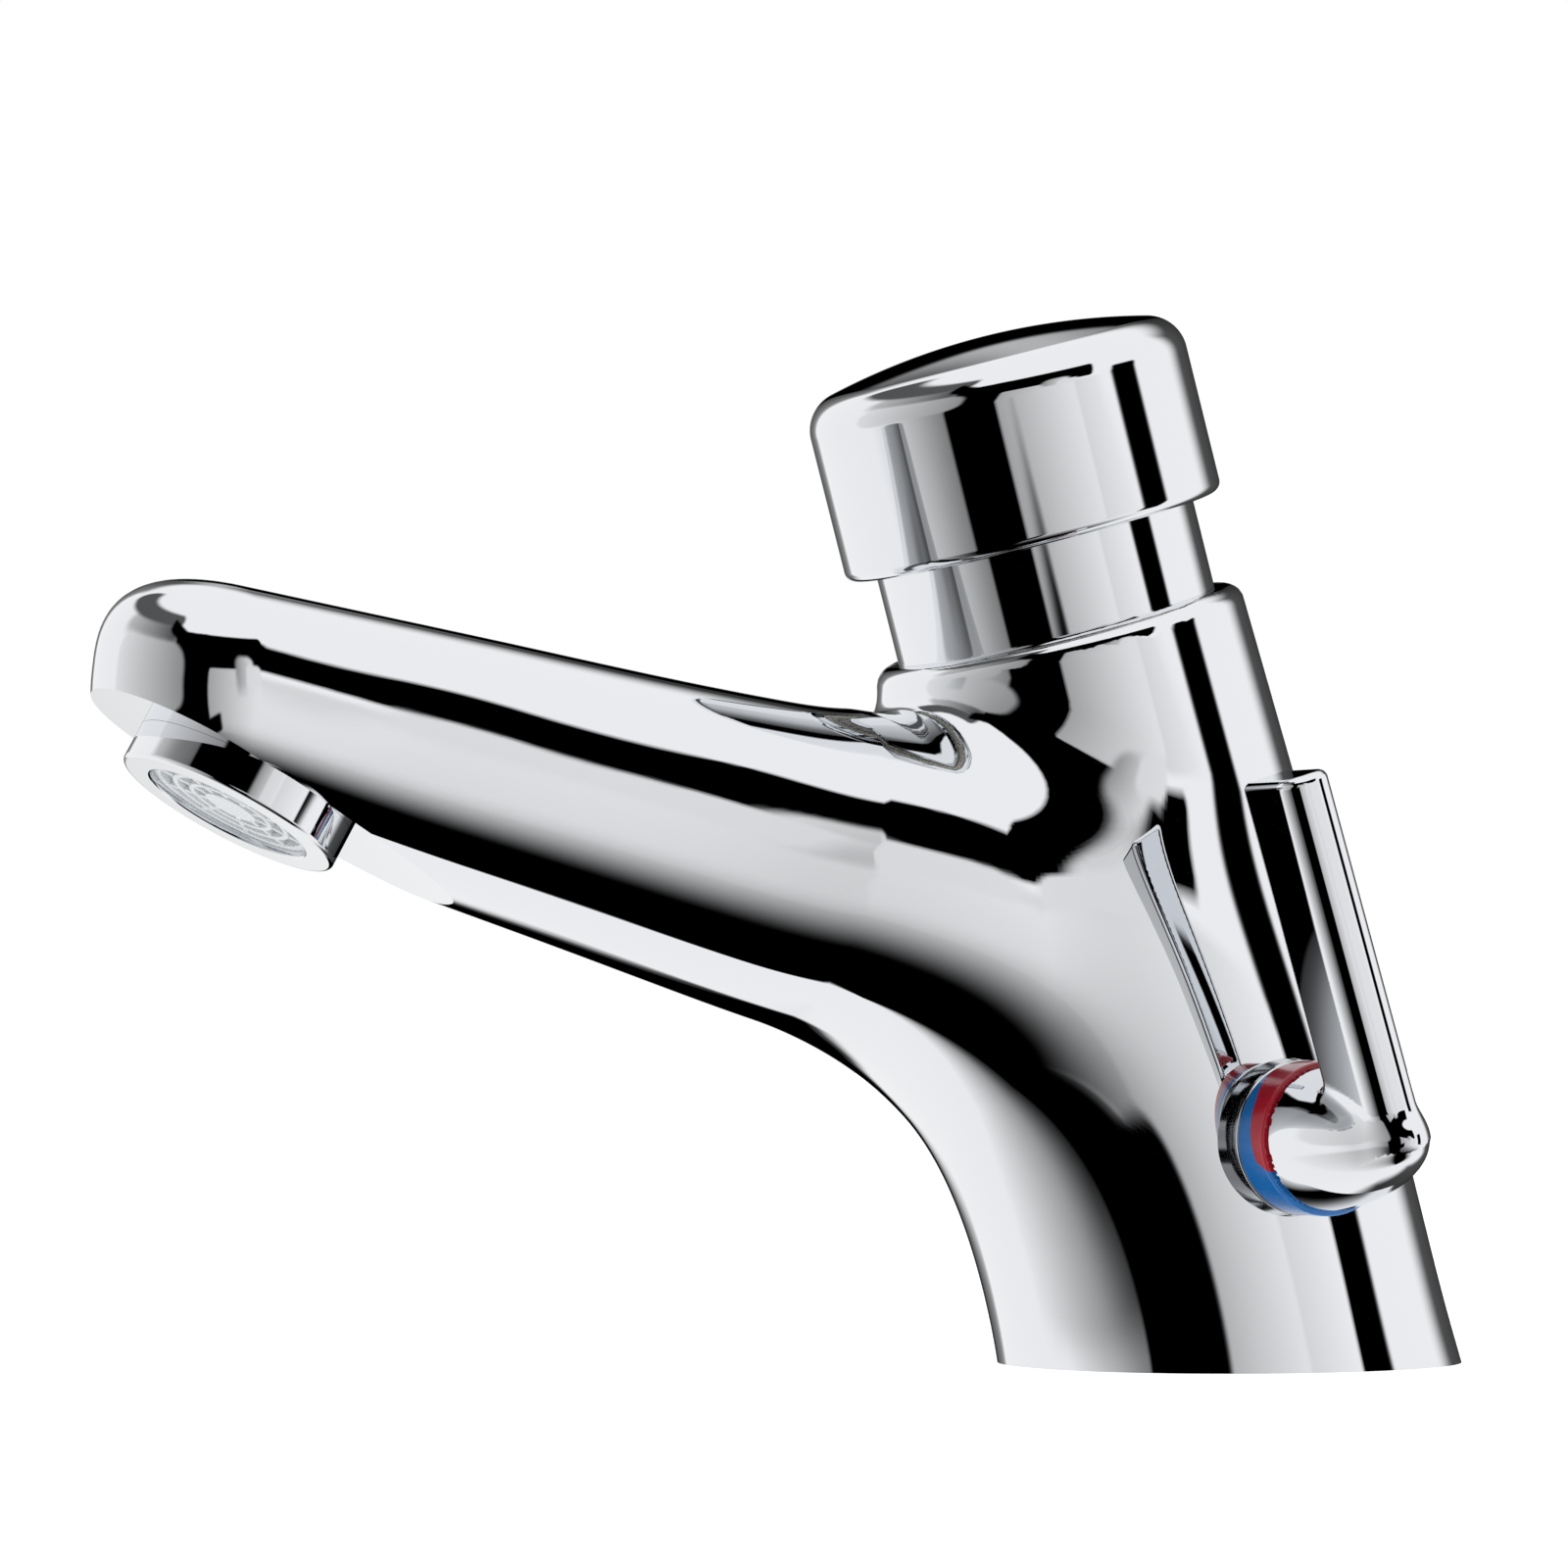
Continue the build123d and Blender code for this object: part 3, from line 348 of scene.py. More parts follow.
def skin_of(
    shape: Field, low: Sequence[float], high: Sequence[float], step: float, rounds: int = 4
) -> tuple[np.ndarray, np.ndarray]:
    """Quad mesh on a field's zero surface.

    Args:
        shape: The field.
        low: Lowest corner of the space that is searched.
        high: Highest corner of it.
        step: Size of a cell.
        rounds: How often the vertices are pulled onto the surface.

    Returns:
        Vertices in millimetres and quads, with the faces pointing outwards.
    """
    axes = [np.arange(a, b + step, step) for a, b in zip(low, high)]
    grid = np.stack(np.meshgrid(*axes, indexing="ij"), axis=-1)
    size = grid.shape[:3]
    values = shape(grid.reshape(-1, 3)).reshape(size)
    cells = tuple(n - 1 for n in size)
    total = np.zeros((*cells, 3))
    count = np.zeros(cells)
    inside = values < 0
    crossings = []
    for axis in range(3):
        first = [slice(None)] * 3
        second = [slice(None)] * 3
        first[axis] = slice(0, -1)
        second[axis] = slice(1, None)
        a, b = values[tuple(first)], values[tuple(second)]
        change = inside[tuple(first)] != inside[tuple(second)]
        share = np.where(change, a / np.where(change, a - b, 1.0), 0.0)
        spot = grid[tuple(first)].copy()
        spot[..., axis] += share * step
        others = [k for k in range(3) if k != axis]
        for i in (0, 1):
            for j in (0, 1):
                part = [slice(None)] * 3
                part[others[0]] = slice(i, size[others[0]] - 1 + i)
                part[others[1]] = slice(j, size[others[1]] - 1 + j)
                hit = change[tuple(part)]
                total += np.where(hit[..., None], spot[tuple(part)], 0.0)
                count += hit
        crossings.append((axis, others, change, inside[tuple(first)]))
    used = count > 0
    index = np.full(cells, -1, int)
    index[used] = np.arange(used.sum())
    points = total[used] / count[used][:, None]
    faces = []
    for axis, others, change, starts_inside in crossings:
        where = np.argwhere(change)
        p, q = others
        where = where[(where[:, p] > 0) & (where[:, q] > 0)]
        where = where[(where[:, p] < cells[p]) & (where[:, q] < cells[q])]
        corners = []
        for dp, dq in ((-1, -1), (0, -1), (0, 0), (-1, 0)):
            moved = where.copy()
            moved[:, p] += dp
            moved[:, q] += dq
            corners.append(index[tuple(moved.T)])
        quads = np.stack(corners, axis=1)
        outward = starts_inside[tuple(where.T)]
        flip = outward if axis == 1 else ~outward
        quads[flip] = quads[flip][:, ::-1]
        faces.append(quads)
    for _ in range(rounds):
        slope = gradient(shape, points)
        length = np.maximum((slope**2).sum(1), TINY)
        move = slope * (shape(points) / length)[:, None]
        limit = np.maximum(np.linalg.norm(move, axis=1) / step, 1.0)
        points = points - move / limit[:, None]
    return points, np.concatenate(faces)


def mesh_object(name: str, points: np.ndarray, faces: Iterable[Sequence[int]]) -> Object:
    """Make a smooth-shaded mesh object at the origin.

    Args:
        name: The piece's name.
        points: Vertices in millimetres.
        faces: Corner numbers of each face.

    Returns:
        The linked object.
    """
    mesh = bpy.data.meshes.new(name)
    mesh.from_pydata((np.asarray(points) * MM).tolist(), [], [list(map(int, f)) for f in faces])
    mesh.validate()
    mesh.shade_smooth()
    made = bpy.data.objects.new(name, mesh)
    bpy.context.scene.collection.objects.link(made)
    return made


def coordinates(mesh: bpy.types.Mesh) -> np.ndarray:
    """Vertices of a mesh, in millimetres."""
    flat = np.empty(len(mesh.vertices) * 3)
    mesh.vertices.foreach_get("co", flat)
    return flat.reshape(-1, 3) / MM


def set_field_normals(obj: Object, shape: Field, reach: float = 0.03, agree_least: float = 0.8) -> None:
    """Shade a mesh by the slope of its field, and flat where it was cut.

    Args:
        obj: The mesh object.
        shape: The field that the mesh lies on.
        reach: How far from the zero surface a face may lie and still count as on it.
        agree_least: Least cosine between a face and the slope for it to count.
    """
    mesh = obj.data
    points = coordinates(mesh)
    slopes = gradient(shape, points)
    slopes /= np.maximum(np.linalg.norm(slopes, axis=1), TINY)[:, None]
    near = np.abs(shape(points)) < reach
    polygons = len(mesh.polygons)
    flat = np.empty(polygons * 3)
    mesh.polygons.foreach_get("normal", flat)
    face_normals = flat.reshape(-1, 3)
    starts = np.empty(polygons, int)
    totals = np.empty(polygons, int)
    mesh.polygons.foreach_get("loop_start", starts)
    mesh.polygons.foreach_get("loop_total", totals)
    corners = np.empty(len(mesh.loops), int)
    mesh.loops.foreach_get("vertex_index", corners)
    face_of = np.repeat(np.arange(polygons), totals)
    order = np.concatenate([np.arange(s, s + t) for s, t in zip(starts, totals)]) if polygons else starts
    faces_at = np.empty(len(corners), int)
    faces_at[order] = face_of
    agree = (slopes[corners] * face_normals[faces_at]).sum(1) > agree_least
    on_skin = near[corners] & agree
    whole = np.ones(polygons, bool)
    np.logical_and.at(whole, faces_at, on_skin)
    chosen = np.where(whole[faces_at][:, None], slopes[corners], face_normals[faces_at])
    mesh.normals_split_custom_set(chosen.tolist())


# Turned shapes


@dataclass
class Profile:
    """Half outline of a turned shape, with the surface direction kept at each corner."""

    points: list[tuple[float, float]] = field(default_factory=list)
    sides: list[tuple[tuple[float, float], tuple[float, float]]] = field(default_factory=list)

    def start(self, radius: float, height: float) -> Profile:
        """Begin at a radius and height."""
        self.points = [(radius, height)]
        return self

    def line(self, radius: float, height: float) -> Profile:
        """Go straight to a radius and height."""
        r, h = self.points[-1]
        run = math.hypot(radius - r, height - h)
        side = ((height - h) / run, -(radius - r) / run)
        self.points.append((radius, height))
        self.sides.append((side, side))
        return self

    def arc(
        self, centre: tuple[float, float], end: tuple[float, float], steps: int = 16, hollow: bool = False
    ) -> Profile:
        """Follow a round arc about a centre to an end point.

        Args:
            centre: Radius and height of the centre.
            end: Where the arc stops.
            steps: Number of short straight sides.
            hollow: True where the surface faces the centre.

        Returns:
            This profile.
        """
        r, h = self.points[-1]
        radius = math.hypot(r - centre[0], h - centre[1])
        first = math.atan2(h - centre[1], r - centre[0])
        last = math.atan2(end[1] - centre[1], end[0] - centre[0])
        turn = (last - first + math.pi) % (2 * math.pi) - math.pi
        sign = -1.0 if hollow else 1.0
        before = (math.cos(first) * sign, math.sin(first) * sign)
        for step in range(1, steps + 1):
            angle = first + turn * step / steps
            after = (math.cos(angle) * sign, math.sin(angle) * sign)
            spot = (centre[0] + radius * math.cos(angle), centre[1] + radius * math.sin(angle))
            self.points.append(spot)
            self.sides.append((before, after))
            before = after
        return self

    def turned(self, name: str, place: Matrix, segments: int = 192) -> Object:
        """Turn the outline about its axis into a closed mesh.

        Args:
            name: The piece's name.
            place: Where the local axis stands in the frame, in millimetres.
            segments: Number of steps around the axis.

        Returns:
            The mesh object, shaded by the outline's own directions.
        """
        closed = math.dist(self.points[0], self.points[-1]) < TINY
        rows = self.points[:-1] if closed else self.points
        points: list[tuple[float, float, float]] = []
        ring: list[list[int]] = []
        for radius, height in rows:
            first = len(points)
            if radius < TINY:
                points.append((0.0, 0.0, height))
                ring.append([first] * segments)
                continue
            for k in range(segments):
                turn = 2 * math.pi * k / segments
                points.append((radius * math.cos(turn), radius * math.sin(turn), height))
            ring.append(list(range(first, first + segments)))
        faces: list[list[int]] = []
        normals: list[tuple[float, float, float]] = []
        for i, (before, after) in enumerate(self.sides):
            low, high = ring[i], ring[(i + 1) % len(ring)]
            if low[0] == low[-1] and high[0] == high[-1]:
                continue
            for k in range(segments):
                nxt = (k + 1) % segments
                corners = [(low[k], k, before), (low[nxt], k + 1, before)]
                corners += [(high[nxt], k + 1, after), (high[k], k, after)]
                if low[k] == low[nxt]:
                    corners = [(low[k], k + 0.5, before), corners[2], corners[3]]
                elif high[k] == high[nxt]:
                    corners = [corners[0], corners[1], (high[k], k + 0.5, after)]
                faces.append([c[0] for c in corners])
                for _, step, side in corners:
                    turn = 2 * math.pi * step / segments
                    normals.append((side[0] * math.cos(turn), side[0] * math.sin(turn), side[1]))
        spots = np.array([place @ Vector(p) for p in points])
        made = mesh_object(name, spots, faces)
        turn = place.to_3x3()
        made.data.normals_split_custom_set([tuple(turn @ Vector(n)) for n in normals])
        return made


def standing(origin: Sequence[float], along: Sequence[float], aside: Sequence[float]) -> Matrix:
    """Matrix whose local Z runs along one direction and whose local X lies near another.

    Args:
        origin: Where local zero goes, in millimetres.
        along: Direction of local Z.
        aside: Rough direction of local X.

    Returns:
        The place as a matrix.
    """
    z = Vector(along).normalized()
    x = (Vector(aside) - z * Vector(aside).dot(z)).normalized()
    y = z.cross(x)
    place = Matrix((x, y, z)).transposed().to_4x4()
    place.translation = Vector(origin)
    return place


def cylinder(
    name: str, place: Matrix, radius: float, low: float, high: float, segments: int = 96
) -> Object:
    """Plain closed cylinder, used as a cutter."""
    outline = Profile().start(0, low).line(radius, low).line(radius, high).line(0, high)
    return outline.turned(name, place, segments)


def box(name: str, place: Matrix, low: Sequence[float], high: Sequence[float]) -> Object:
    """Plain closed box, used as a cutter."""
    corners = product(*zip(low, high))
    faces = [(0, 1, 3, 2), (4, 6, 7, 5), (0, 4, 5, 1), (2, 3, 7, 6), (0, 2, 6, 4), (1, 5, 7, 3)]
    return mesh_object(name, np.array([place @ Vector(c) for c in corners]), faces)


def apply_cutters(obj: Object, cutters: Sequence[Object], keep: Cut = Cut.OUTSIDE) -> None:
    """Cut an object with closed meshes in one go, and remove them.

    Args:
        obj: The mesh object that changes.
        cutters: The closed meshes.
        keep: Which side of the cutters stays.
    """
    group = bpy.data.collections.new("cutters")
    bpy.context.scene.collection.children.link(group)
    for cutter in cutters:
        group.objects.link(cutter)
    change = obj.modifiers.new("cut", "BOOLEAN")
    change.operation = keep.value
    change.solver = "EXACT"
    change.operand_type = "COLLECTION"
    change.collection = group
    bpy.context.view_layer.update()
    done = bpy.data.meshes.new_from_object(obj.evaluated_get(bpy.context.evaluated_depsgraph_get()))
    obj.modifiers.remove(change)
    old = obj.data
    obj.data = done
    done.name = obj.name
    bpy.data.meshes.remove(old)
    for cutter in cutters:
        shell = cutter.data
        bpy.data.objects.remove(cutter)
        bpy.data.meshes.remove(shell)
    bpy.data.collections.remove(group)


@dataclass
class Rule:
    """Tree of Geometry Nodes with named inputs: lengths in millimetres and whole numbers."""

    name: str
    lengths: dict[str, float]
    counts: dict[str, int]

    def __post_init__(self) -> None:
        """Make the tree with an input for each length and count, kept by socket identifier."""
        self.tree = bpy.data.node_groups.new(self.name, "GeometryNodeTree")
        self.tree.interface.new_socket("Geometry", in_out="OUTPUT", socket_type="NodeSocketGeometry")
        rows = [(label, "NodeSocketFloat", value * MM) for label, value in self.lengths.items()]
        rows += [(label, "NodeSocketInt", value) for label, value in self.counts.items()]
        self.values: dict[str, float | int] = {}
        for label, kind, value in rows:
            socket = self.tree.interface.new_socket(label, in_out="INPUT", socket_type=kind)
            self.values[socket.identifier] = value
        self.given = add_node(self.tree, "NodeGroupInput").outputs

    def add(self, kind: str, output: str, settings: dict | None = None, links: dict | None = None) -> Socket:
        """Add one node to the tree and give one of its outputs."""
        return add_node(self.tree, kind, settings, links).outputs[output]

    def sums(self, kind: str, *terms: Socket | float) -> Socket:
        """Work out one sum from two sockets or plain numbers."""
        plain = {k: term for k, term in enumerate(terms) if isinstance(term, (int, float))}
        wired = {k: term for k, term in enumerate(terms) if k not in plain}
        return self.add("ShaderNodeMath", "Value", {".operation": kind, **plain}, wired)

    def vector(self, axis: str, length: Socket) -> Socket:
        """Turn a length into a vector along one axis."""
        return self.add("ShaderNodeCombineXYZ", "Vector", {}, {axis: length})

    def circle(self, radius: Socket, steps: int) -> Socket:
        """Draw a circle of short straight sides."""
        links = {"Radius": radius}
        return self.add("GeometryNodeCurvePrimitiveCircle", "Curve", {"Resolution": steps}, links)

    def sweep(self, curve: Socket, section: Socket, level: Socket) -> Socket:
        """Sweep a section along a curve, close its ends and lift it to a level."""
        links = {"Curve": curve, "Profile Curve": section}
        return self.lift(self.add("GeometryNodeCurveToMesh", "Mesh", {"Fill Caps": True}, links), level)

    def lift(self, shape: Socket, level: Socket) -> Socket:
        """Move a shape along local Z."""
        links = {"Geometry": shape, "Translation": self.vector("Z", level)}
        return self.add("GeometryNodeTransform", "Geometry", {}, links)

    def real(self, shape: Socket) -> Socket:
        """Make instances real."""
        return self.add("GeometryNodeRealizeInstances", "Geometry", {}, {"Geometry": shape})

    def grow(self, name: str, shape: Socket, finish: Finish, place: Matrix) -> Object:
        """End the tree and let it make a piece.

        Args:
            name: The piece's name.
            shape: The tree's last shape.
            finish: Its surface.
            place: The piece's place, in millimetres.

        Returns:
            The piece as one plain mesh, with its place in the mesh.
        """
        material, links = {"Material": finish.material()}, {"Geometry": self.real(shape)}
        paint = self.add("GeometryNodeSetMaterial", "Geometry", material, links)
        add_node(self.tree, "NodeGroupOutput", {}, {"Geometry": paint})
        made = mesh_object(name, np.zeros((0, 3)), [])
        rule = made.modifiers.new(name, "NODES")
        rule.node_group = self.tree
        for identifier, value in self.values.items():
            rule[identifier] = value
        mesh = bpy.data.meshes.new_from_object(made.evaluated_get(bpy.context.evaluated_depsgraph_get()))
        made.modifiers.clear()
        in_metres = place.copy()
        in_metres.translation *= MM
        mesh.transform(in_metres)
        made.data = mesh
        return made


def settle(made: Object, nodes: Sequence[str], slot: str, body: Body, finish: Finish) -> None:
    """Dress a finished piece, let it stand for its nodes and ride on its body.

    Args:
        made: The piece.
        nodes: The CAD nodes that it replaces.
        slot: The record's material slot; not used.
        body: The body that it moves with.
        finish: Its surface.
    """
    dress(made, finish)
    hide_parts(*nodes)
    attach(made, body.value)
    LOG.info("%s: %d faces on %s", made.name, len(made.data.polygons), body.value)


# The mixer's own geometry


@dataclass(frozen=True)
class Layout:
    """Places that several pieces share."""

    lean: float = math.radians(15.7)
    barrel_height: float = 88.8
    hub_rise: float = 27.7
    lever_lean: float = math.radians(17.2)
    outlet_reach: float = 124.1
    outlet_height: float = 66.23
    outlet_tilt: float = math.radians(29.4)
    inlets: tuple[tuple[float, float], ...] = ((-6.0, 10.0), (-6.0, -8.0))

    @property
    def axis(self) -> Matrix:
        """Local height along the leaning barrel."""
        return standing((0, 0, 0), (0, -math.sin(self.lean), math.cos(self.lean)), (1, 0, 0))

    @property
    def hub_centre(self) -> tuple[float, float, float]:
        """Where the lever's axis crosses the symmetry plane."""
        return (0, -self.hub_rise * math.sin(self.lean), self.hub_rise * math.cos(self.lean))

    @property
    def hub(self) -> Matrix:
        """Local height along the lever's axis; local X runs up the lever."""
        up = (0, -math.sin(self.lever_lean), math.cos(self.lever_lean))
        return standing(self.hub_centre, (1, 0, 0), up)

    @property
    def outlet(self) -> Matrix:
        """Local height out of the spout, zero on the flat land."""
        out = (0, -math.sin(self.outlet_tilt), -math.cos(self.outlet_tilt))
        return standing((0, -self.outlet_reach, self.outlet_height), out, (1, 0, 0))


@dataclass(frozen=True)
class Hole:
    """Round hole along local Z of its frame, with its place aside where it isn't central."""

    radius: float
    low: float
    high: float
    aside: tuple[float, float] = (0.0, 0.0)

    def cutter(self, name: str, frame: Matrix) -> Object:
        """Make the closed mesh that cuts the hole in a frame."""
        return cylinder(name, frame @ Matrix.Translation((*self.aside, 0)), self.radius, self.low, self.high)


class Piece:
    """A piece that stands for one CAD node."""

    node: str
    slot: str = "chrome_plate"
    body: Body = Body.CASTING
    finish: Finish = CHROME

    def build(self) -> Object:
        """Make the piece's mesh."""
        raise NotImplementedError

    def dress(self) -> None:
        """Replace the CAD node by the piece."""
        settle(self.build(), [self.node], self.slot, self.body, self.finish)


@dataclass
class Casting(Piece):
    """Barrel, throat and spout, blended into one skin."""

    node = "body_casting"
    layout: Layout
    base_radius: float = 24.9
    top_radius: float = 21.7
    edge_round: float = 2.0
    throat_centre: tuple[float, float] = (-72.0, -3.0)
    throat_radius: float = 44.0
    end_angle: float = math.radians(75.7)
    stations: tuple[float, ...] = (-64.3, -50.5, -35.1, -19.7, -6.7, 9.4, 25.1, 43.0, 58.5, 70.0)
    widths: tuple[float, ...] = (21.4, 22.2, 22.9, 22.4, 20.6, 17.6, 15.8, 14.6, 13.8, 13.6)
    powers: tuple[float, ...] = (2.1, 2.1, 2.1, 2.2, 2.25, 2.3, 2.35, 2.45, 2.55, 2.6)
    nears: tuple[float, ...] = (45.6, 44.6, 44.0, 44.0, 43.9, 44.7, 45.9, 47.2, 48.4, 49.3)
    fars: tuple[float, ...] = (86.0, 88.9, 92.0, 91.2, 83.4, 79.4, 78.0, 76.7, 75.5, 74.6)
    nose_station: float = 73.4
    nose_radius: float = 13.6
    nose_shear: float = 1.6
    blend_side: float = 8.0
    blend_crotch: float = 4.0
    cell: float = 0.9
    top_holes: tuple[Hole, ...] = (
        Hole(18.85, 84.8, 110.0),
        Hole(17.45, 76.3, 84.85),
        Hole(15.45, 48.97, 76.35),
        Hole(17.0, 52.7, 59.2),
        Hole(9.2, 38.85, 49.02),
    )
    side_holes: tuple[Hole, ...] = (Hole(8.95, 5.2, 50.0),)
    outlet_holes: tuple[Hole, ...] = (Hole(11.55, -9.0, 20.0), Hole(9.0, -13.0, -8.95))
    inlet_holes: tuple[tuple[float, float, float], ...] = (
        (4.6, -5.0, 8.3),
        (4.3, 0.0, 17.2),
        (3.2, 0.0, 18.8),
    )
    stud_hole: tuple[float, float, float] = (2.5, -5.0, 12.0)
    studs: tuple[tuple[float, float], ...] = ((0.0, 17.5), (0.0, -17.5))
    groove_radii: tuple[float, float] = (20.95, 23.15)
    groove_depth: float = 2.0
    waterway_radius: float = 6.0
    waterway_start: tuple[float, float, float] = (0.0, -15.4, 55.97)
    waterway_end: tuple[float, float, float] = (0.0, 0.0, -11.0)
    crotch_height: float = 58.0
    crotch_rise: float = 16.0
    crotch_half_width: float = 14.0
    level_step: float = 0.05
    least_slope: float = 1e-3
    search: tuple[tuple[float, float, float], ...] = ((-27, -144, -3), (27, 30, 93))
    ground: tuple[tuple[float, float, float], ...] = ((-40, -160, -20), (40, 60, 0))
    land: tuple[tuple[float, float, float], ...] = ((-30, -30, 0), (30, 30, 45))

    def spout(self, points: np.ndarray) -> np.ndarray:
        """Level of the throat and spout: zero on the surface, minus one on the centre line."""
        dy = points[:, 1] - self.throat_centre[0]
        dz = points[:, 2] - self.throat_centre[1]
        c, s = math.cos(self.end_angle), math.sin(self.end_angle)
        past = -dy * s + dz * c
        radial = np.where(past > 0, dy * c + dz * s, np.hypot(dy, dz))
        angle = np.arctan2(dz, dy)
        station = np.where(past > 0, past, (angle - self.end_angle) * self.throat_radius)
        width = self.width_at(station)
        near, far, power = self.near_at(station), self.far_at(station), self.power_at(station)
        v = (radial - (near + far) / 2) / ((far - near) / 2)
        ahead = np.maximum(station - self.nose_station - self.nose_shear * v, 0) / self.nose_radius
        plan = np.hypot(points[:, 0] / width, ahead)
        return (plan**power + np.abs(v) ** power) ** (1 / power) - 1

    def prepare(self) -> None:
        """Set up the curves that give the spout's size along its length."""
        self.width_at = cubic_through(self.stations, self.widths)
        self.power_at = cubic_through(self.stations, self.powers)
        self.near_at = cubic_through(self.stations, self.nears)
        self.far_at = cubic_through(self.stations, self.fars)

    def barrel(self, points: np.ndarray) -> np.ndarray:
        """Distance to the barrel with its rounded top edge."""
        lean = self.layout.lean
        height = -points[:, 1] * math.sin(lean) + points[:, 2] * math.cos(lean)
        back = points[:, 1] * math.cos(lean) + points[:, 2] * math.sin(lean)
        taper = (self.base_radius - self.top_radius) / self.layout.barrel_height
        side = (np.hypot(points[:, 0], back) - self.base_radius + taper * height) / math.hypot(1, taper)
        top = height - self.layout.barrel_height
        return rounded_most(side, top, self.edge_round)

    def shape(self, points: np.ndarray) -> np.ndarray:
        """The blended skin as a field."""
        level = self.spout(points)
        slope = np.linalg.norm(gradient(self.spout, points, self.level_step), axis=1)
        spout = level / np.maximum(slope, self.least_slope)
        barrel = self.barrel(points)
        rise = smooth_step((points[:, 2] - self.crotch_height) / self.crotch_rise)
        side = smooth_step(np.abs(points[:, 0]) / self.crotch_half_width)
        width = self.blend_side + (self.blend_crotch - self.blend_side) * (rise * (1 - side))
        return smooth_least(spout, barrel, width)

    def build(self) -> Object:
        """Make the skin, cut the land and the bores, and shade it."""
        self.prepare()
        points, faces = skin_of(self.shape, *self.search, self.cell)
        made = mesh_object("casting_skin", points, faces)
        apply_cutters(made, [*self.faces_cut(), *self.bores()])
        set_field_normals(made, self.shape)
        return made

    def faces_cut(self) -> list[Object]:
        """Cutters of the flat base and of the flat land around the outlet."""
        return [
            box("ground", Matrix.Identity(4), *self.ground),
            box("land", self.layout.outlet, *self.land),
        ]

    def bores(self) -> list[Object]:
        """Cutters of the bores, the waterway and the gasket's groove."""
        place = self.layout
        base_holes = [Hole(*size, spot) for spot in place.inlets for size in self.inlet_holes]
        base_holes += [Hole(*self.stud_hole, spot) for spot in self.studs]
        groups = (
            ("top", place.axis, self.top_holes),
            ("side", place.hub, self.side_holes),
            ("outlet", place.outlet, self.outlet_holes),
            ("base", Matrix.Identity(4), base_holes),
        )
        cutters = [
            hole.cutter(f"{name}_hole_{number}", frame)
            for name, frame, holes in groups
            for number, hole in enumerate(holes)
        ]
        start = place.axis @ Vector(self.waterway_start)
        run = place.outlet @ Vector(self.waterway_end) - start
        along = standing(start, run, (1, 0, 0))
        cutters.append(cylinder("waterway", along, self.waterway_radius, 0.0, run.length))
        inner, outer = self.groove_radii
        groove = Profile().start(inner, -5.0).line(outer, -5.0).line(outer, self.groove_depth)
        groove = groove.line(inner, self.groove_depth).line(inner, -5.0)
        cutters.append(groove.turned("gasket_groove", Matrix.Identity(4)))
        return cutters


@dataclass
class Sleeve(Piece):
    """Plated sleeve between the barrel and the button."""

    node = "neck_sleeve"
    layout: Layout
    radius: float = 18.8
    foot: float = 84.82
    top: float = 108.0
    edge_round: float = 0.6
    wall: float = 2.0
    floor: float = 88.8
    thread_radius: float = 17.4
    thread_foot: float = 78.5
    thread_bore: float = 14.6
    lip_bore: float = 13.4
    lip_foot: float = 82.52

    def build(self) -> Object:
        """Turn the sleeve from its thread to its rounded top edge."""
        r, e, inner = self.radius, self.edge_round, self.radius - self.wall
        outline = Profile().start(self.thread_bore, self.thread_foot)
        outline.line(self.thread_radius, self.thread_foot)
        outline.line(self.thread_radius, self.foot).line(r, self.foot).line(r, self.top - e)
        outline.arc((r - e, self.top - e), (r - e, self.top), 8).line(inner, self.top).line(inner, self.floor)
        outline.line(self.lip_bore, self.floor).line(self.lip_bore, self.lip_foot)
        outline.line(self.thread_bore, self.lip_foot).line(self.thread_bore, self.thread_foot)
        return outline.turned("neck_sleeve_plated", self.layout.axis, 256)


@dataclass
class PushButton(Piece):
    """Plated cap that is pressed to start the flow, with a bare top."""

    node = "push_button_cap"
    body = Body.BUTTON
    layout: Layout
    radius: float = 22.3
    low: float = 99.5
    height: float = 23.6
    side_height: float = 17.0
    shoulder_round: float = 4.6
    rim_round: float = 1.2
    wall: float = 2.0
    boss_radius: float = 6.0
    boss_length: float = 8.5
    thread_radius: float = 2.45
    thread_length: float = 6.3

    def build(self) -> Object:
        """Turn the cap with its crowned top, its thin wall and its boss."""
        r, side_top = self.radius, self.low + self.side_height
        run = r - self.shoulder_round
        rise = self.height - self.side_height - self.shoulder_round
        dome = (run**2 + rise**2) / (2 * rise)
        turn = math.asin(run / dome)
        out, up = self.shoulder_round * math.sin(turn), self.shoulder_round * math.cos(turn)
        shoulder = (run + out, side_top + up)
        centre = shoulder[1] - math.sqrt(dome**2 - shoulder[0] ** 2)
        inside = side_top + self.shoulder_round - self.wall
        boss_low, inner = inside - self.boss_length, r - self.wall
        outline = Profile().start(inner, self.low).line(r - self.rim_round, self.low)
        outline.arc((r - self.rim_round, self.low + self.rim_round), (r, self.low + self.rim_round), 12)
        outline.line(r, side_top).arc((run, side_top), shoulder, 40).arc((0, centre), (0, centre + dome), 48)
        outline.line(0, boss_low + self.thread_length).line(self.thread_radius, boss_low + self.thread_length)
        outline.line(self.thread_radius, boss_low).line(self.boss_radius, boss_low)
        outline.line(self.boss_radius, inside)
        outline.line(inner, inside).line(inner, self.low)
        return outline.turned("push_button_plated", self.layout.axis, 256)


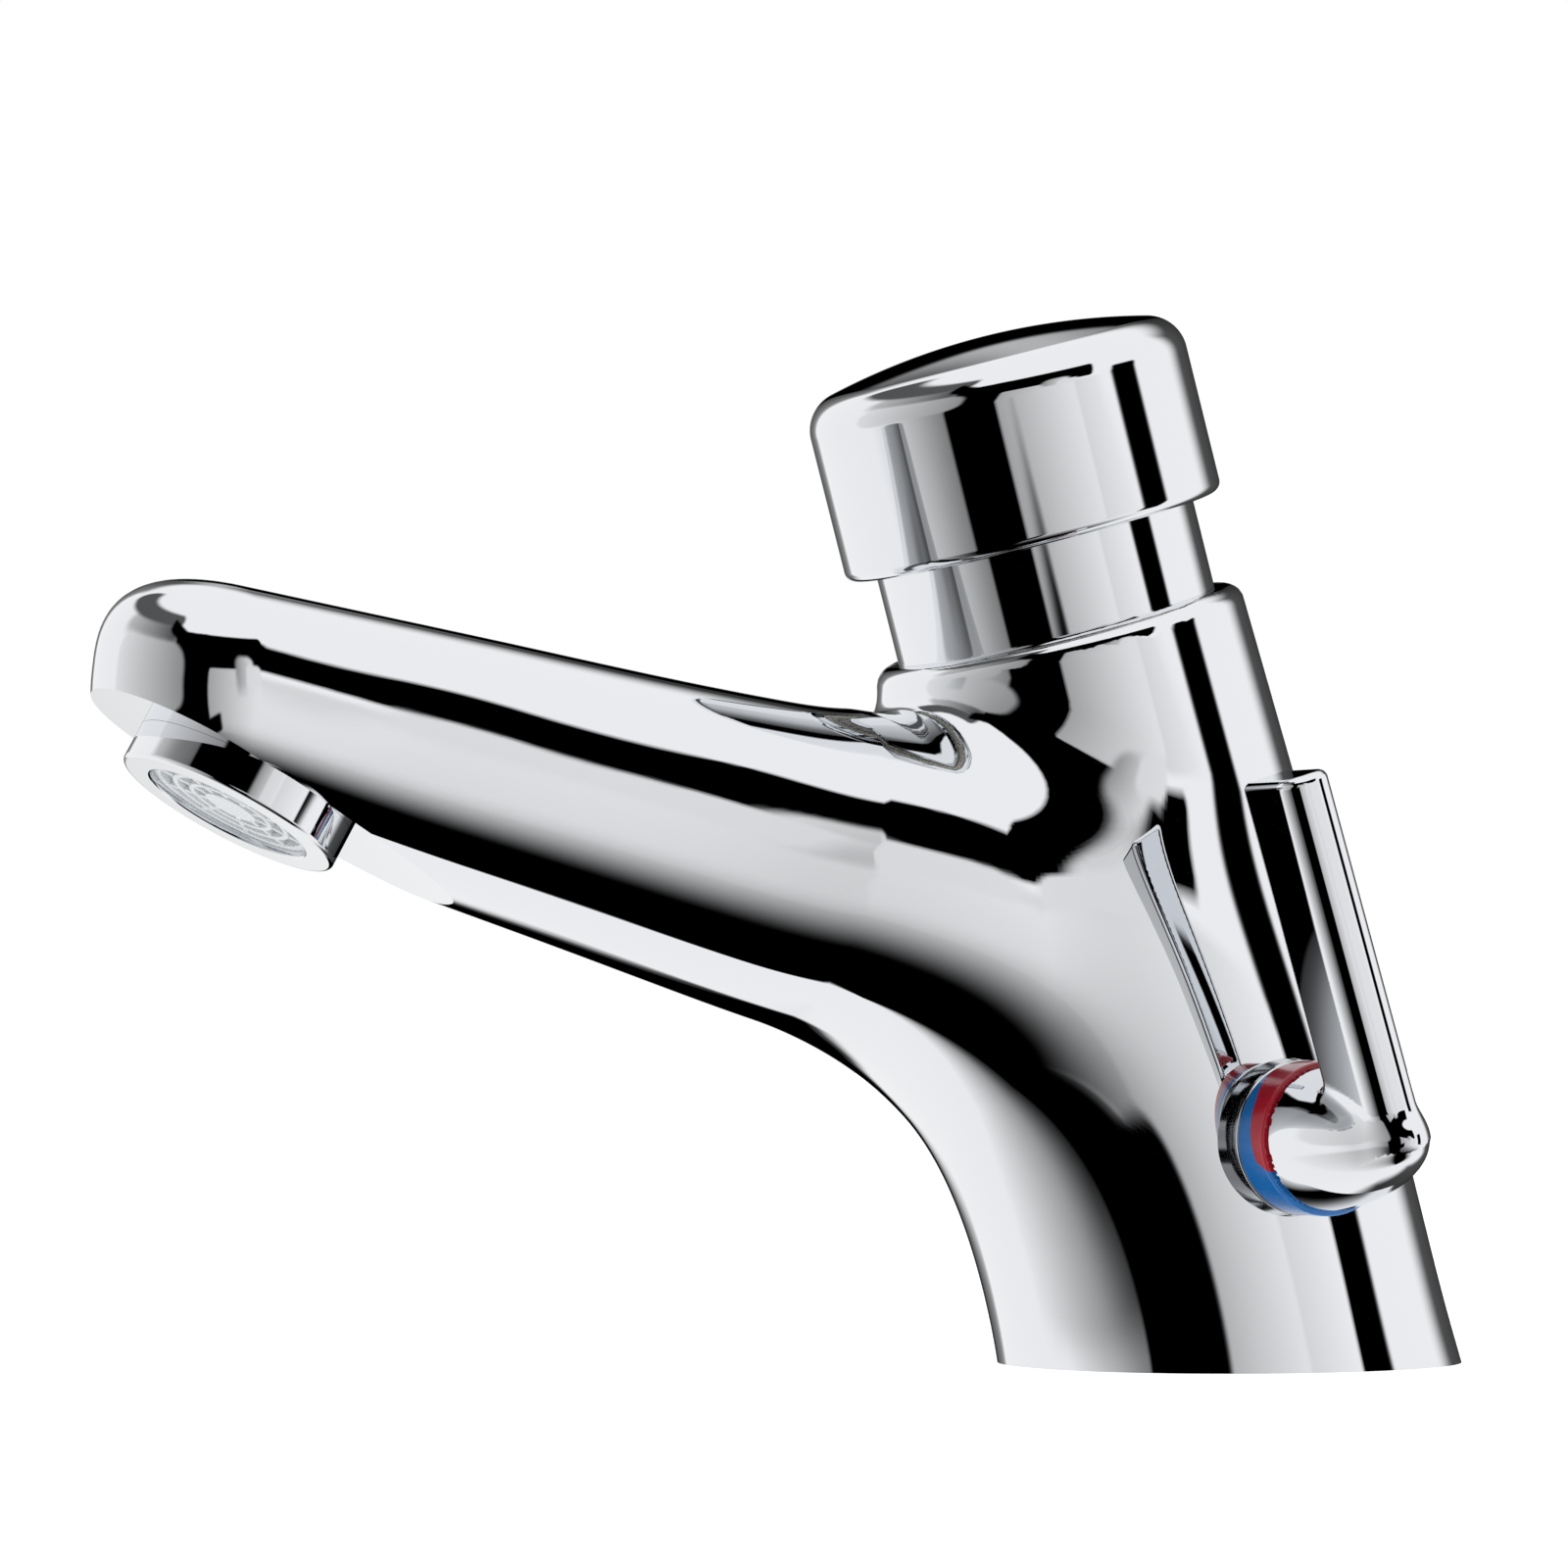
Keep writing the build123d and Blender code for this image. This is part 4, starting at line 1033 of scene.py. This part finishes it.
@dataclass
class Gland(Piece):
    """Plated nut that holds the spindle: a bright flange on a narrower neck."""

    node = "gland_nut"
    slot = "plated_gland"
    finish = GLAND_CHROME
    layout: Layout
    start: float = 15.08
    thread_end: float = 22.9
    thread_radius: float = 8.9
    neck_radius: float = 7.6
    flange: tuple[float, float] = (27.6, 28.5)
    flange_radius: float = 8.75
    edge_round: float = 0.25
    nose_radius: float = 5.5
    nose_end: float = 33.7
    bore: float = 3.56
    recess_radius: float = 6.6
    recess_end: float = 17.18
    seal_groove: tuple[float, float, float] = (5.08, 23.83, 25.37)

    def build(self) -> Object:
        """Turn the nut about the lever's axis."""
        low, high = self.flange
        r, e = self.flange_radius, self.edge_round
        deep, groove_low, groove_high = self.seal_groove
        outline = Profile().start(self.recess_radius, self.start).line(self.thread_radius, self.start)
        outline.line(self.thread_radius, self.thread_end).line(self.neck_radius, self.thread_end)
        outline.line(self.neck_radius, low).line(r - e, low).arc((r - e, low + e), (r, low + e), 6)
        outline.line(r, high - e).arc((r - e, high - e), (r - e, high), 6).line(self.nose_radius, high)
        outline.line(self.nose_radius, self.nose_end).line(self.bore, self.nose_end)
        outline.line(self.bore, groove_high)
        outline.line(deep, groove_high).line(deep, groove_low).line(self.bore, groove_low)
        outline.line(self.bore, self.recess_end).line(self.recess_radius, self.recess_end)
        outline.line(self.recess_radius, self.start)
        return outline.turned("gland_nut_plated", self.layout.hub, 160)


@dataclass
class TemperatureRing:
    """Moulded ring behind the lever, blue in front and red behind."""

    layout: Layout
    radius: float = 8.7
    bore: float = 5.55
    low: float = 28.52
    high: float = 34.0
    edge_round: float = 0.35
    height_shares: tuple[float, ...] = (-1.2, -0.42, -0.3, 0.0, 0.5, 0.94, 1.2)
    place_shares: tuple[float, ...] = (1.0, 1.0, 0.66, 0.56, 0.42, 0.0, 0.0)

    def shape(self, points: np.ndarray) -> np.ndarray:
        """Distance to the outer skin of the ring, with its rounded edges."""
        centre = self.layout.hub_centre
        radial = np.hypot(points[:, 1] - centre[1], points[:, 2] - centre[2]) - self.radius
        ends = np.abs(points[:, 0] - (self.low + self.high) / 2) - (self.high - self.low) / 2
        return rounded_most(radial, ends, self.edge_round)

    def whole(self, name: str) -> Object:
        """Turn the undivided ring."""
        r, e = self.radius, self.edge_round
        outline = Profile().start(self.bore, self.low).line(r - e, self.low)
        outline.arc((r - e, self.low + e), (r, self.low + e), 6).line(r, self.high - e)
        outline.arc((r - e, self.high - e), (r - e, self.high), 6).line(self.bore, self.high)
        outline.line(self.bore, self.low)
        return outline.turned(name, self.layout.hub, 160)

    def divider(self) -> Object:
        """Closed block on the blue side of the slanting line."""
        length = self.high - self.low
        rows = zip(self.height_shares, self.place_shares)
        line = [(self.low + place * length, height * self.radius) for height, place in rows]
        inside = self.low - length
        corners = [(inside, line[0][1]), *line, (inside, line[-1][1])]
        centre = Vector(self.layout.hub_centre)
        count, reach = len(corners), 2 * self.radius
        points = [centre + Vector((x, side * reach, z)) for side in (-1, 1) for x, z in corners]
        faces = [list(range(count)), list(range(2 * count - 1, count - 1, -1))]
        faces += [[k, k + count, (k + 1) % count + count, (k + 1) % count] for k in range(count)]
        return mesh_object("divider", np.array([tuple(p) for p in points]), faces)

    def dress(self) -> None:
        """Replace the two CAD halves."""
        halves = (("blue", Cut.INSIDE, BLUE_ABS), ("red", Cut.OUTSIDE, RED_ABS))
        for colour, keep, finish in halves:
            made = self.whole(f"temperature_ring_{colour}_moulded")
            apply_cutters(made, [self.divider()], keep)
            set_field_normals(made, self.shape)
            settle(made, [f"temperature_ring_{colour}"], f"{colour}_plastic", Body.CASTING, finish)


@dataclass
class Lever(Piece):
    """Temperature lever: a rounded hub with a flat bar that rises from it."""

    node = "temperature_lever"
    body = Body.LEVER
    layout: Layout
    start: float = 34.45
    end: float = 52.75
    hub_radius: float = 8.15
    shoulder: tuple[float, float] = (7.5, 41.05)
    tip_radius: float = 4.1
    middle: float = 38.5
    bar_length: float = 42.0
    bar_width: float = 6.2
    bar_place: tuple[float, float] = (40.95, 51.55)
    outer_round: float = 2.6
    inner_round: float = 1.0
    top_round: float = 1.0
    blend: float = 1.6
    spindle_hole: Hole = Hole(3.52, 30.0, 42.8)
    screw_hole: Hole = Hole(2.05, 0.0, 15.0)
    screw_place: float = 38.45
    cell: float = 0.34
    outline_steps: int = 40
    mirrored_steps: int = 8
    hub_ease: float = 0.97
    search: tuple[tuple[float, float, float], ...] = ((-10, -10, 33), (44, 10, 54))
    normal_reach: float = 0.02

    def prepare(self) -> None:
        """Set up the hub's outline as a reach from its middle at each angle."""
        corners = ((self.hub_radius, self.start), self.shoulder, (self.tip_radius, self.end), (0.0, self.end))
        angles, reaches = [], []
        for step in range(self.outline_steps + 1):
            t = step / self.outline_steps
            weights = ((1 - t) ** 3, 3 * t * (1 - t) ** 2, 3 * t * t * (1 - t), t**3)
            radius = sum(w * c[0] for w, c in zip(weights, corners))
            height = sum(w * c[1] for w, c in zip(weights, corners)) - self.middle
            angles.append(math.atan2(height, radius))
            reaches.append(math.hypot(radius, height))
        beyond = slice(-self.mirrored_steps, -1)
        angles += [math.pi - a for a in reversed(angles[beyond])]
        reaches += list(reversed(reaches[beyond]))
        self.reach_at = cubic_through(angles, reaches)

    def local(self, points: np.ndarray) -> np.ndarray:
        """Turn frame points into the lever's own axes: up the bar, across it, and out."""
        back = np.array(self.layout.hub.inverted())
        return points @ back[:3, :3].T + back[:3, 3]

    def shape(self, points: np.ndarray) -> np.ndarray:
        """Hub and bar with a small fillet between them."""
        spot = self.local(points)
        up, across, out = spot[:, 0], spot[:, 1], spot[:, 2]
        radial = np.hypot(up, across)
        height = out - self.middle
        reach = self.reach_at(np.arctan2(height, radial))
        hub = np.maximum((np.hypot(radial, height) - reach) * self.hub_ease, self.start - out)
        low, high = self.bar_place
        side = out - (low + high) / 2
        corner = np.where(side > 0, self.outer_round, self.inner_round)
        flat = rounded_most(np.abs(across) - self.bar_width / 2, np.abs(side) - (high - low) / 2, corner)
        bar = np.maximum(rounded_most(flat, up - self.bar_length, self.top_round), -up)
        return smooth_least(hub, bar, self.blend)

    def build(self) -> Object:
        """Make the lever's skin with its spindle hole and the grub screw's hole."""
        self.prepare()
        place = self.layout.hub
        spots = [place @ Vector(corner) for corner in product(*zip(*self.search))]
        low = [min(s[k] for s in spots) for k in range(3)]
        high = [max(s[k] for s in spots) for k in range(3)]
        points, faces = skin_of(self.shape, low, high, self.cell)
        made = mesh_object("temperature_lever_plated", points, faces)
        quarter = Matrix.Rotation(math.radians(90), 4, "X")
        screw = place @ Matrix.Translation((0, 0, self.screw_place)) @ quarter
        holes = (self.spindle_hole.cutter("spindle_hole", place), self.screw_hole.cutter("screw_hole", screw))
        apply_cutters(made, holes)
        set_field_normals(made, self.shape, self.normal_reach)
        return made


@dataclass
class Outlet:
    """Plated ring of the outlet with its moulded insert."""

    layout: Layout
    radius: float = 12.85
    height: float = 4.4
    seat: float = 0.02
    edge_round: float = 0.5
    bore: float = 9.9
    mouth: float = 9.5
    lip: float = 0.8
    spigot_radius: float = 11.5
    spigot: float = -7.2
    insert_radius: float = 9.85
    insert_low: float = -4.2
    insert_high: float = 3.58
    groove_depth: float = 0.8
    ring_count: int = 3
    ring_width: float = 0.7
    rib_count: int = 10
    rib_width: float = 0.7
    rib_drop: float = 0.12
    hub_radius: float = 1.7
    insert_round: float = 0.12
    insert_segments: int = 96
    lip_round: float = 0.3
    relief_sink: float = 0.3
    round_steps: int = 2
    crease: float = math.radians(50)

    def shell(self) -> Object:
        """Turn the ring with its lip and the spigot that screws into the spout."""
        r, e, under = self.radius, self.edge_round, self.height - self.lip
        outline = Profile().start(self.bore, self.spigot).line(self.spigot_radius, self.spigot)
        outline.line(self.spigot_radius, self.seat).line(r, self.seat).line(r, self.height - e)
        outline.arc((r - e, self.height - e), (r - e, self.height), 10)
        lip, level = self.mouth + self.lip_round, self.height - self.lip_round
        outline.line(lip, self.height).arc((lip, level), (self.mouth, level), 6)
        outline.line(self.mouth, under).line(self.bore, under).line(self.bore, self.spigot)
        return outline.turned("aerator_shell_plated", self.layout.outlet, 224)

    def insert(self) -> Object:
        """Mould the insert by rule: a disc that carries a hub, rings, a rim and ribs.

        Returns:
            The insert in its place in the outlet.
        """
        pitch = (self.insert_radius - self.hub_radius) / (self.ring_count + 1)
        half = (pitch - self.ring_width) / 2
        hub = self.hub_radius + pitch - half
        rim = self.hub_radius + pitch * self.ring_count + half
        relief = self.groove_depth + self.relief_sink
        lengths = {
            "Disc radius": self.insert_radius,
            "Disc height": self.insert_high - self.groove_depth - self.insert_low,
            "Relief height": relief,
            "Relief middle": self.insert_high - relief / 2,
            "Disc middle": (self.insert_high - self.groove_depth + self.insert_low) / 2,
            "Hub radius": hub,
            "First ring": self.hub_radius + pitch * 1.5,
            "Ring pitch": pitch,
            "Ring width": self.ring_width,
            "Rim middle": (rim + self.insert_radius) / 2,
            "Rim width": self.insert_radius - rim - self.rib_drop,
            "Rib start": hub - self.ring_width,
            "Rib width": self.rib_width,
            "Rib drop": self.rib_drop,
            "Edge round": self.insert_round,
        }
        counts = {"Ring count": self.ring_count - 1, "Rib count": self.rib_count}
        rule = Rule("moulded_insert", lengths, counts)
        given, sums = rule.given, rule.sums

        def bar(curve: Socket, width: str, drop: Socket | float) -> Socket:
            """Sweep a bar with rounded edges along a curve, at the insert's face."""
            size = {"Width": given[width], "Height": sums("SUBTRACT", given["Relief height"], drop)}
            section = rule.add("GeometryNodeCurvePrimitiveQuadrilateral", "Curve", {}, size)
            links = {"Curve": section, "Radius": given["Edge round"]}
            settings = {".mode": "POLY", "Count": self.round_steps}
            rounded = rule.add("GeometryNodeFilletCurve", "Curve", settings, links)
            level = sums("SUBTRACT", given["Relief middle"], sums("MULTIPLY", drop, 0.5))
            return rule.sweep(curve, rounded, level)

        def block(radius: str, height: str, middle: str) -> Socket:
            """Make a round block on the insert's axis."""
            links = {"Radius": given[radius], "Depth": given[height]}
            made = rule.add("GeometryNodeMeshCylinder", "Mesh", {"Vertices": self.insert_segments}, links)
            return rule.lift(made, given[middle])

        def repeated(count: str, shape: Socket, **placed: Socket) -> Socket:
            """Set copies of a curve out by their number and make them real."""
            points = rule.add("GeometryNodeMeshLine", "Mesh", {"Offset": (0, 0, 0)}, {"Count": given[count]})
            links = {"Points": points, "Instance": shape, **placed}
            return rule.real(rule.add("GeometryNodeInstanceOnPoints", "Instances", {}, links))

        number = rule.add("GeometryNodeInputIndex", "Index")
        unit = {"Resolution": self.insert_segments, "Radius": 1.0}
        ring = rule.add("GeometryNodeCurvePrimitiveCircle", "Curve", unit)
        size = sums("ADD", given["First ring"], sums("MULTIPLY", number, given["Ring pitch"]))
        scale = rule.add("ShaderNodeCombineXYZ", "Vector", {"Z": 1.0}, {"X": size, "Y": size})
        ends = {"Start": rule.vector("X", given["Rib start"]), "End": rule.vector("X", given["Rim middle"])}
        line = rule.add("GeometryNodeCurvePrimitiveLine", "Curve", {}, ends)
        turn = rule.vector("Z", sums("MULTIPLY", number, sums("DIVIDE", math.tau, given["Rib count"])))
        parts = (
            bar(repeated("Ring count", ring, Scale=scale), "Ring width", 0.0),
            bar(rule.circle(given["Rim middle"], self.insert_segments), "Rim width", 0.0),
            bar(repeated("Rib count", line, Rotation=turn), "Rib width", given["Rib drop"]),
            block("Disc radius", "Disc height", "Disc middle"),
            block("Hub radius", "Relief height", "Relief middle"),
        )
        union = add_node(rule.tree, "GeometryNodeMeshBoolean", {".operation": "UNION", ".solver": "MANIFOLD"})
        for shape in parts:
            rule.tree.links.new(shape, union.inputs["Mesh 2"])
        angle = rule.add("GeometryNodeInputMeshEdgeAngle", "Unsigned Angle")
        links = {"Geometry": union.outputs["Mesh"], "Shade Smooth": sums("LESS_THAN", angle, self.crease)}
        soft = rule.add("GeometryNodeSetShadeSmooth", "Geometry", {".domain": "EDGE"}, links)
        return rule.grow("outlet_insert_moulded", soft, GREY_PLASTIC, self.layout.outlet)

    def dress(self) -> None:
        """Replace the CAD shell and its insert."""
        settle(self.shell(), ["aerator_shell"], "chrome_plate", Body.CASTING, CHROME)
        settle(self.insert(), ["flow_straightener"], "pale_grey_plastic", Body.CASTING, GREY_PLASTIC)


@dataclass(frozen=True)
class Coil:
    """Coil spring along local Z of its frame, wound at its full length."""

    node: str
    joint: str
    travel: float
    radius: float
    wire: float
    low: float
    high: float
    turns: int
    held: float
    steps: int = 48
    sides: int = 14

    def wound(self, frame: Matrix) -> Object:
        """Wind the wire by rule: a round section along a helix."""
        lengths = {
            "Coil radius": self.radius,
            "Wire radius": self.wire,
            "Rise": self.high - self.low - 2 * self.wire,
            "Start": self.low + self.wire,
        }
        rule = Rule(f"wound_{self.node}", lengths, {"Turns": self.turns})
        sources = {
            "Rotations": "Turns",
            "Start Radius": "Coil radius",
            "End Radius": "Coil radius",
            "Height": "Rise",
        }
        links = {name: rule.given[source] for name, source in sources.items()}
        helix = rule.add("GeometryNodeCurveSpiral", "Curve", {"Resolution": self.steps}, links)
        section = rule.circle(rule.given["Wire radius"], self.sides)
        wire = rule.sweep(helix, section, rule.given["Start"])
        return rule.grow(f"{self.node}_wound", wire, SPRING_STEEL, frame)

    def dress(self, frame: Matrix) -> None:
        """Replace the CAD spring by a wound one at its full length.

        Args:
            frame: The spring's frame in millimetres.
        """
        made = self.wound(frame)
        settle(made, [self.node], "spring_steel", Body.CASTING, SPRING_STEEL)
        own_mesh(made)


@dataclass
class Springs:
    """The button's spring and those of the two check valves."""

    layout: Layout
    button: Coil = Coil("button_spring", "button_press", 7.0, 9.7, 0.8, 82.52, 119.08, 8, 82.52)
    valve: tuple[float, ...] = (1.5, 1.5, 0.22, 11.38, 15.92, 5, 15.92)

    def dress(self) -> None:
        """Replace the three CAD springs."""
        self.button.dress(self.layout.axis)
        for water, spot in zip(("hot", "cold"), self.layout.inlets):
            coil = Coil(f"{water}_check_valve_spring", f"{water}_poppet_lift", *self.valve)
            coil.dress(Matrix.Translation((*spot, 0.0)))


# Studio


@dataclass(frozen=True)
class Panel:
    """Soft box or black flag of the light tent, at angles seen from the object's middle."""

    name: str
    turn: tuple[float, float]
    rise: tuple[float, float]
    glow: tuple[float, float] = (0.0, 0.0)
    soft: float = 1.5
    corner: float = 4.0
    slant: float = 0.0

    def paint(self, turn: np.ndarray, rise: np.ndarray, glow: np.ndarray) -> np.ndarray:
        """Lay this panel over what the tent already shows.

        Args:
            turn: Angles about the vertical, in degrees.
            rise: Angles above the horizon, in degrees.
            glow: Brightness so far.

        Returns:
            The new brightness.
        """
        middle, half = sum(self.turn) / 2, abs(self.turn[1] - self.turn[0]) / 2
        across = (turn - middle + 180) % 360 - 180
        level = rise - sum(self.rise) / 2 - self.slant * across
        corner = min(self.corner, half, abs(self.rise[1] - self.rise[0]) / 2)
        high = abs(self.rise[1] - self.rise[0]) / 2
        away = rounded_most(np.abs(across) - half, np.abs(level) - high, corner)
        share = smooth_step(0.5 - away / (2 * self.soft))
        own = self.glow[0] + (self.glow[1] - self.glow[0]) * np.clip(across / (2 * half) + 0.5, 0, 1)
        return glow + (own - glow) * share


PANELS = (
    Panel("grey_behind_right", (106, 156), (-60, 40), (0.1, 0.02), 10.0),
    Panel("flag_behind_left", (160, 184), (-15, 40), (0.02, 0.3), 6.0),
    Panel("flag_behind_top", (147, 164), (10, 27)),
    Panel("flag_behind_low", (142, 166), (-40, -5)),
    Panel("soft_box_left", (-176, -112), (-95, 38), (1.0, 0.97), 1.0),
    Panel("soft_box_left_shade", (-114, -58), (-95, 38), (0.97, 0.2), 1.0, 1.0),
    Panel("soft_box_left_low", (-132, -58), (-95, -21), (0.95, 0.02), 3.0, 1.0),
    Panel("soft_box_left_high", (-128, -60), (24, 44), (0.6, 0.04), 6.0, 9.0),
    Panel("flag_left_top", (-168, -58), (40, 58), (0.1, 0.1), 2.5, 8.0),
    Panel("flag_far_right", (43, 62), (-12, 22), (0.0, 0.0), 1.5, 3.0),
    Panel("flag_above_left", (-70, -48), (27, 44), (0.0, 0.0), 2.0, 4.0, -0.7),
    Panel("flag_beside_camera", (-61, -28), (-95, 38), (0.0, 0.0), 0.7, 2.0),
    Panel("flag_above_camera", (-40, 29), (11, 38), (0.0, 0.0), 0.8, 3.0),
    Panel("soft_box_left_near", (-125, -52), (-10, 25), (0.85, 0.3), 2.0, 14.0),
    Panel("soft_box_right_low", (-29, 24), (-85, 2), (0.3, 0.95), 4.0, 25.0),
    Panel("soft_box_right", (-29, 18), (-24, 11), (0.42, 0.9), 0.6, 1.5),
    Panel("soft_box_right_high", (-4, 13), (4, 20), (0.3, 0.85), 2.0, 6.0),
    Panel("soft_box_right_rim", (6, 19), (4, 14), (0.8, 0.85), 1.0, 3.0),
    Panel("flag_beside_base", (-34, -18), (-27, -11), (0.0, 0.0), 1.5, 3.0, 0.6),
    Panel("soft_box_edge", (18, 44), (-14, 8), (0.78, 1.0), 1.0, 3.0),
    Panel("flag_below_camera", (-68, 48), (-110, -31), (0.0, 0.0), 20.0),
)


def tent_material() -> bpy.types.Material:
    """Cloth of the light tent: its glow is kept with each point."""
    made = empty_material("tent_cloth")
    tree = made.node_tree
    glow = add_node(tree, "ShaderNodeAttribute", {".attribute_name": "glow"}).outputs["Fac"]
    shader = add_node(tree, "ShaderNodeEmission", {"Color": linear(WHITE)}, {"Strength": glow})
    add_node(tree, "ShaderNodeOutputMaterial", {}, {"Surface": shader.outputs["Emission"]})
    return made


@dataclass(frozen=True)
class Studio:
    """Pale floor, soft light and the camera at the photograph's angle."""

    camera_spot: tuple[float, float, float] = (698.80, -392.22, 41.69)
    camera_back: tuple[float, float, float] = (0.9021164, -0.4302875, -0.0322290)
    lens: float = 156.87
    sensor: float = 36.0
    middle: tuple[float, float, float] = (0.0, -50.0, 60.0)
    tent_reach: float = 2500.0
    tent_step: float = 1.0
    floor_reach: float = 3000.0
    floor_level: float = -0.05
    floor_colour: str = "F6F6F6"
    floor_roughness: float = 0.9
    floor_glow: float = 0.8
    sight: tuple[float, float] = (0.01, 50.0)

    def camera(self) -> None:
        """Place the camera."""
        data = bpy.data.cameras.new("camera")
        data.lens = self.lens
        data.sensor_width = self.sensor
        data.clip_start, data.clip_end = self.sight
        back = Vector(self.camera_back).normalized()
        right = Vector((0, 0, 1)).cross(back).normalized()
        up = back.cross(right)
        place = Matrix((right, up, back)).transposed().to_4x4()
        place.translation = Vector(self.camera_spot) * MM
        made = bpy.data.objects.new("camera", data)
        made.matrix_world = place
        bpy.context.scene.collection.objects.link(made)
        bpy.context.scene.camera = made

    def floor(self) -> None:
        """Lay the plain pale floor."""
        r, z = self.floor_reach, self.floor_level
        corners = np.array([(-r, -r, z), (r, -r, z), (r, r, z), (-r, r, z)])
        made = mesh_object("floor", corners, [(0, 1, 2, 3)])
        paint = bpy.data.materials.new("pale_floor")
        paint.use_nodes = True
        shader = paint.node_tree.nodes["Principled BSDF"]
        looks = {
            "Base Color": linear(self.floor_colour),
            "Roughness": self.floor_roughness,
            "Emission Color": linear(WHITE),
            "Emission Strength": self.floor_glow,
        }
        for name, value in looks.items():
            shader.inputs[name].default_value = value
        made.data.materials.append(paint)
        made.visible_glossy = False

    def light(self) -> None:
        """Even white surroundings, seen through the Standard view transform."""
        made = bpy.data.worlds.new("studio")
        made.use_nodes = True
        shade = made.node_tree.nodes["Background"]
        shade.inputs["Color"].default_value = linear(WHITE)
        shade.inputs["Strength"].default_value = 1.0
        bpy.context.scene.world = made
        bpy.context.scene.view_settings.view_transform = "Standard"

    def tent(self) -> None:
        """Hang the light tent around the object, hidden from the camera."""
        turns = np.arange(-180, 180, self.tent_step)
        rises = np.arange(-90, 90 + self.tent_step / 2, self.tent_step)
        turn, rise = (grid.ravel() for grid in np.meshgrid(turns, rises, indexing="ij"))
        glow = np.ones(turn.size)
        for panel in PANELS:
            glow = panel.paint(turn, rise, glow)
        a, b = np.radians(turn), np.radians(rise)
        way = np.stack([np.cos(a) * np.cos(b), np.sin(a) * np.cos(b), np.sin(b)], axis=1)
        across, upward = len(turns), len(rises)
        column, row = np.meshgrid(np.arange(across), np.arange(upward - 1), indexing="ij")
        low, after = (column * upward + row).ravel(), ((column + 1) % across * upward + row).ravel()
        faces = np.stack([low, low + 1, after + 1, after], axis=1)
        made = mesh_object("light_tent", np.array(self.middle) + way * self.tent_reach, faces)
        made.data.attributes.new("glow", "FLOAT", "POINT").data.foreach_set("value", glow)
        cloth = tent_material()
        cloth.cycles.emission_sampling = "NONE"
        made.data.materials.append(cloth)
        made.visible_camera = False


def main() -> None:
    """Build the mixer's looks piece by piece."""
    logging.basicConfig(level=logging.INFO, format="%(message)s")
    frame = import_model()
    for finish, names in FINISHED_NODES.items():
        for name in names:
            dress(frame["nodes"][name], finish)
    layout = Layout()
    for part in (Casting, Sleeve, PushButton, Gland, TemperatureRing, Lever, Outlet, Springs):
        part(layout).dress()
    studio = Studio()
    studio.camera()
    studio.floor()
    studio.light()
    studio.tent()


if __name__ == "__main__":
    main()
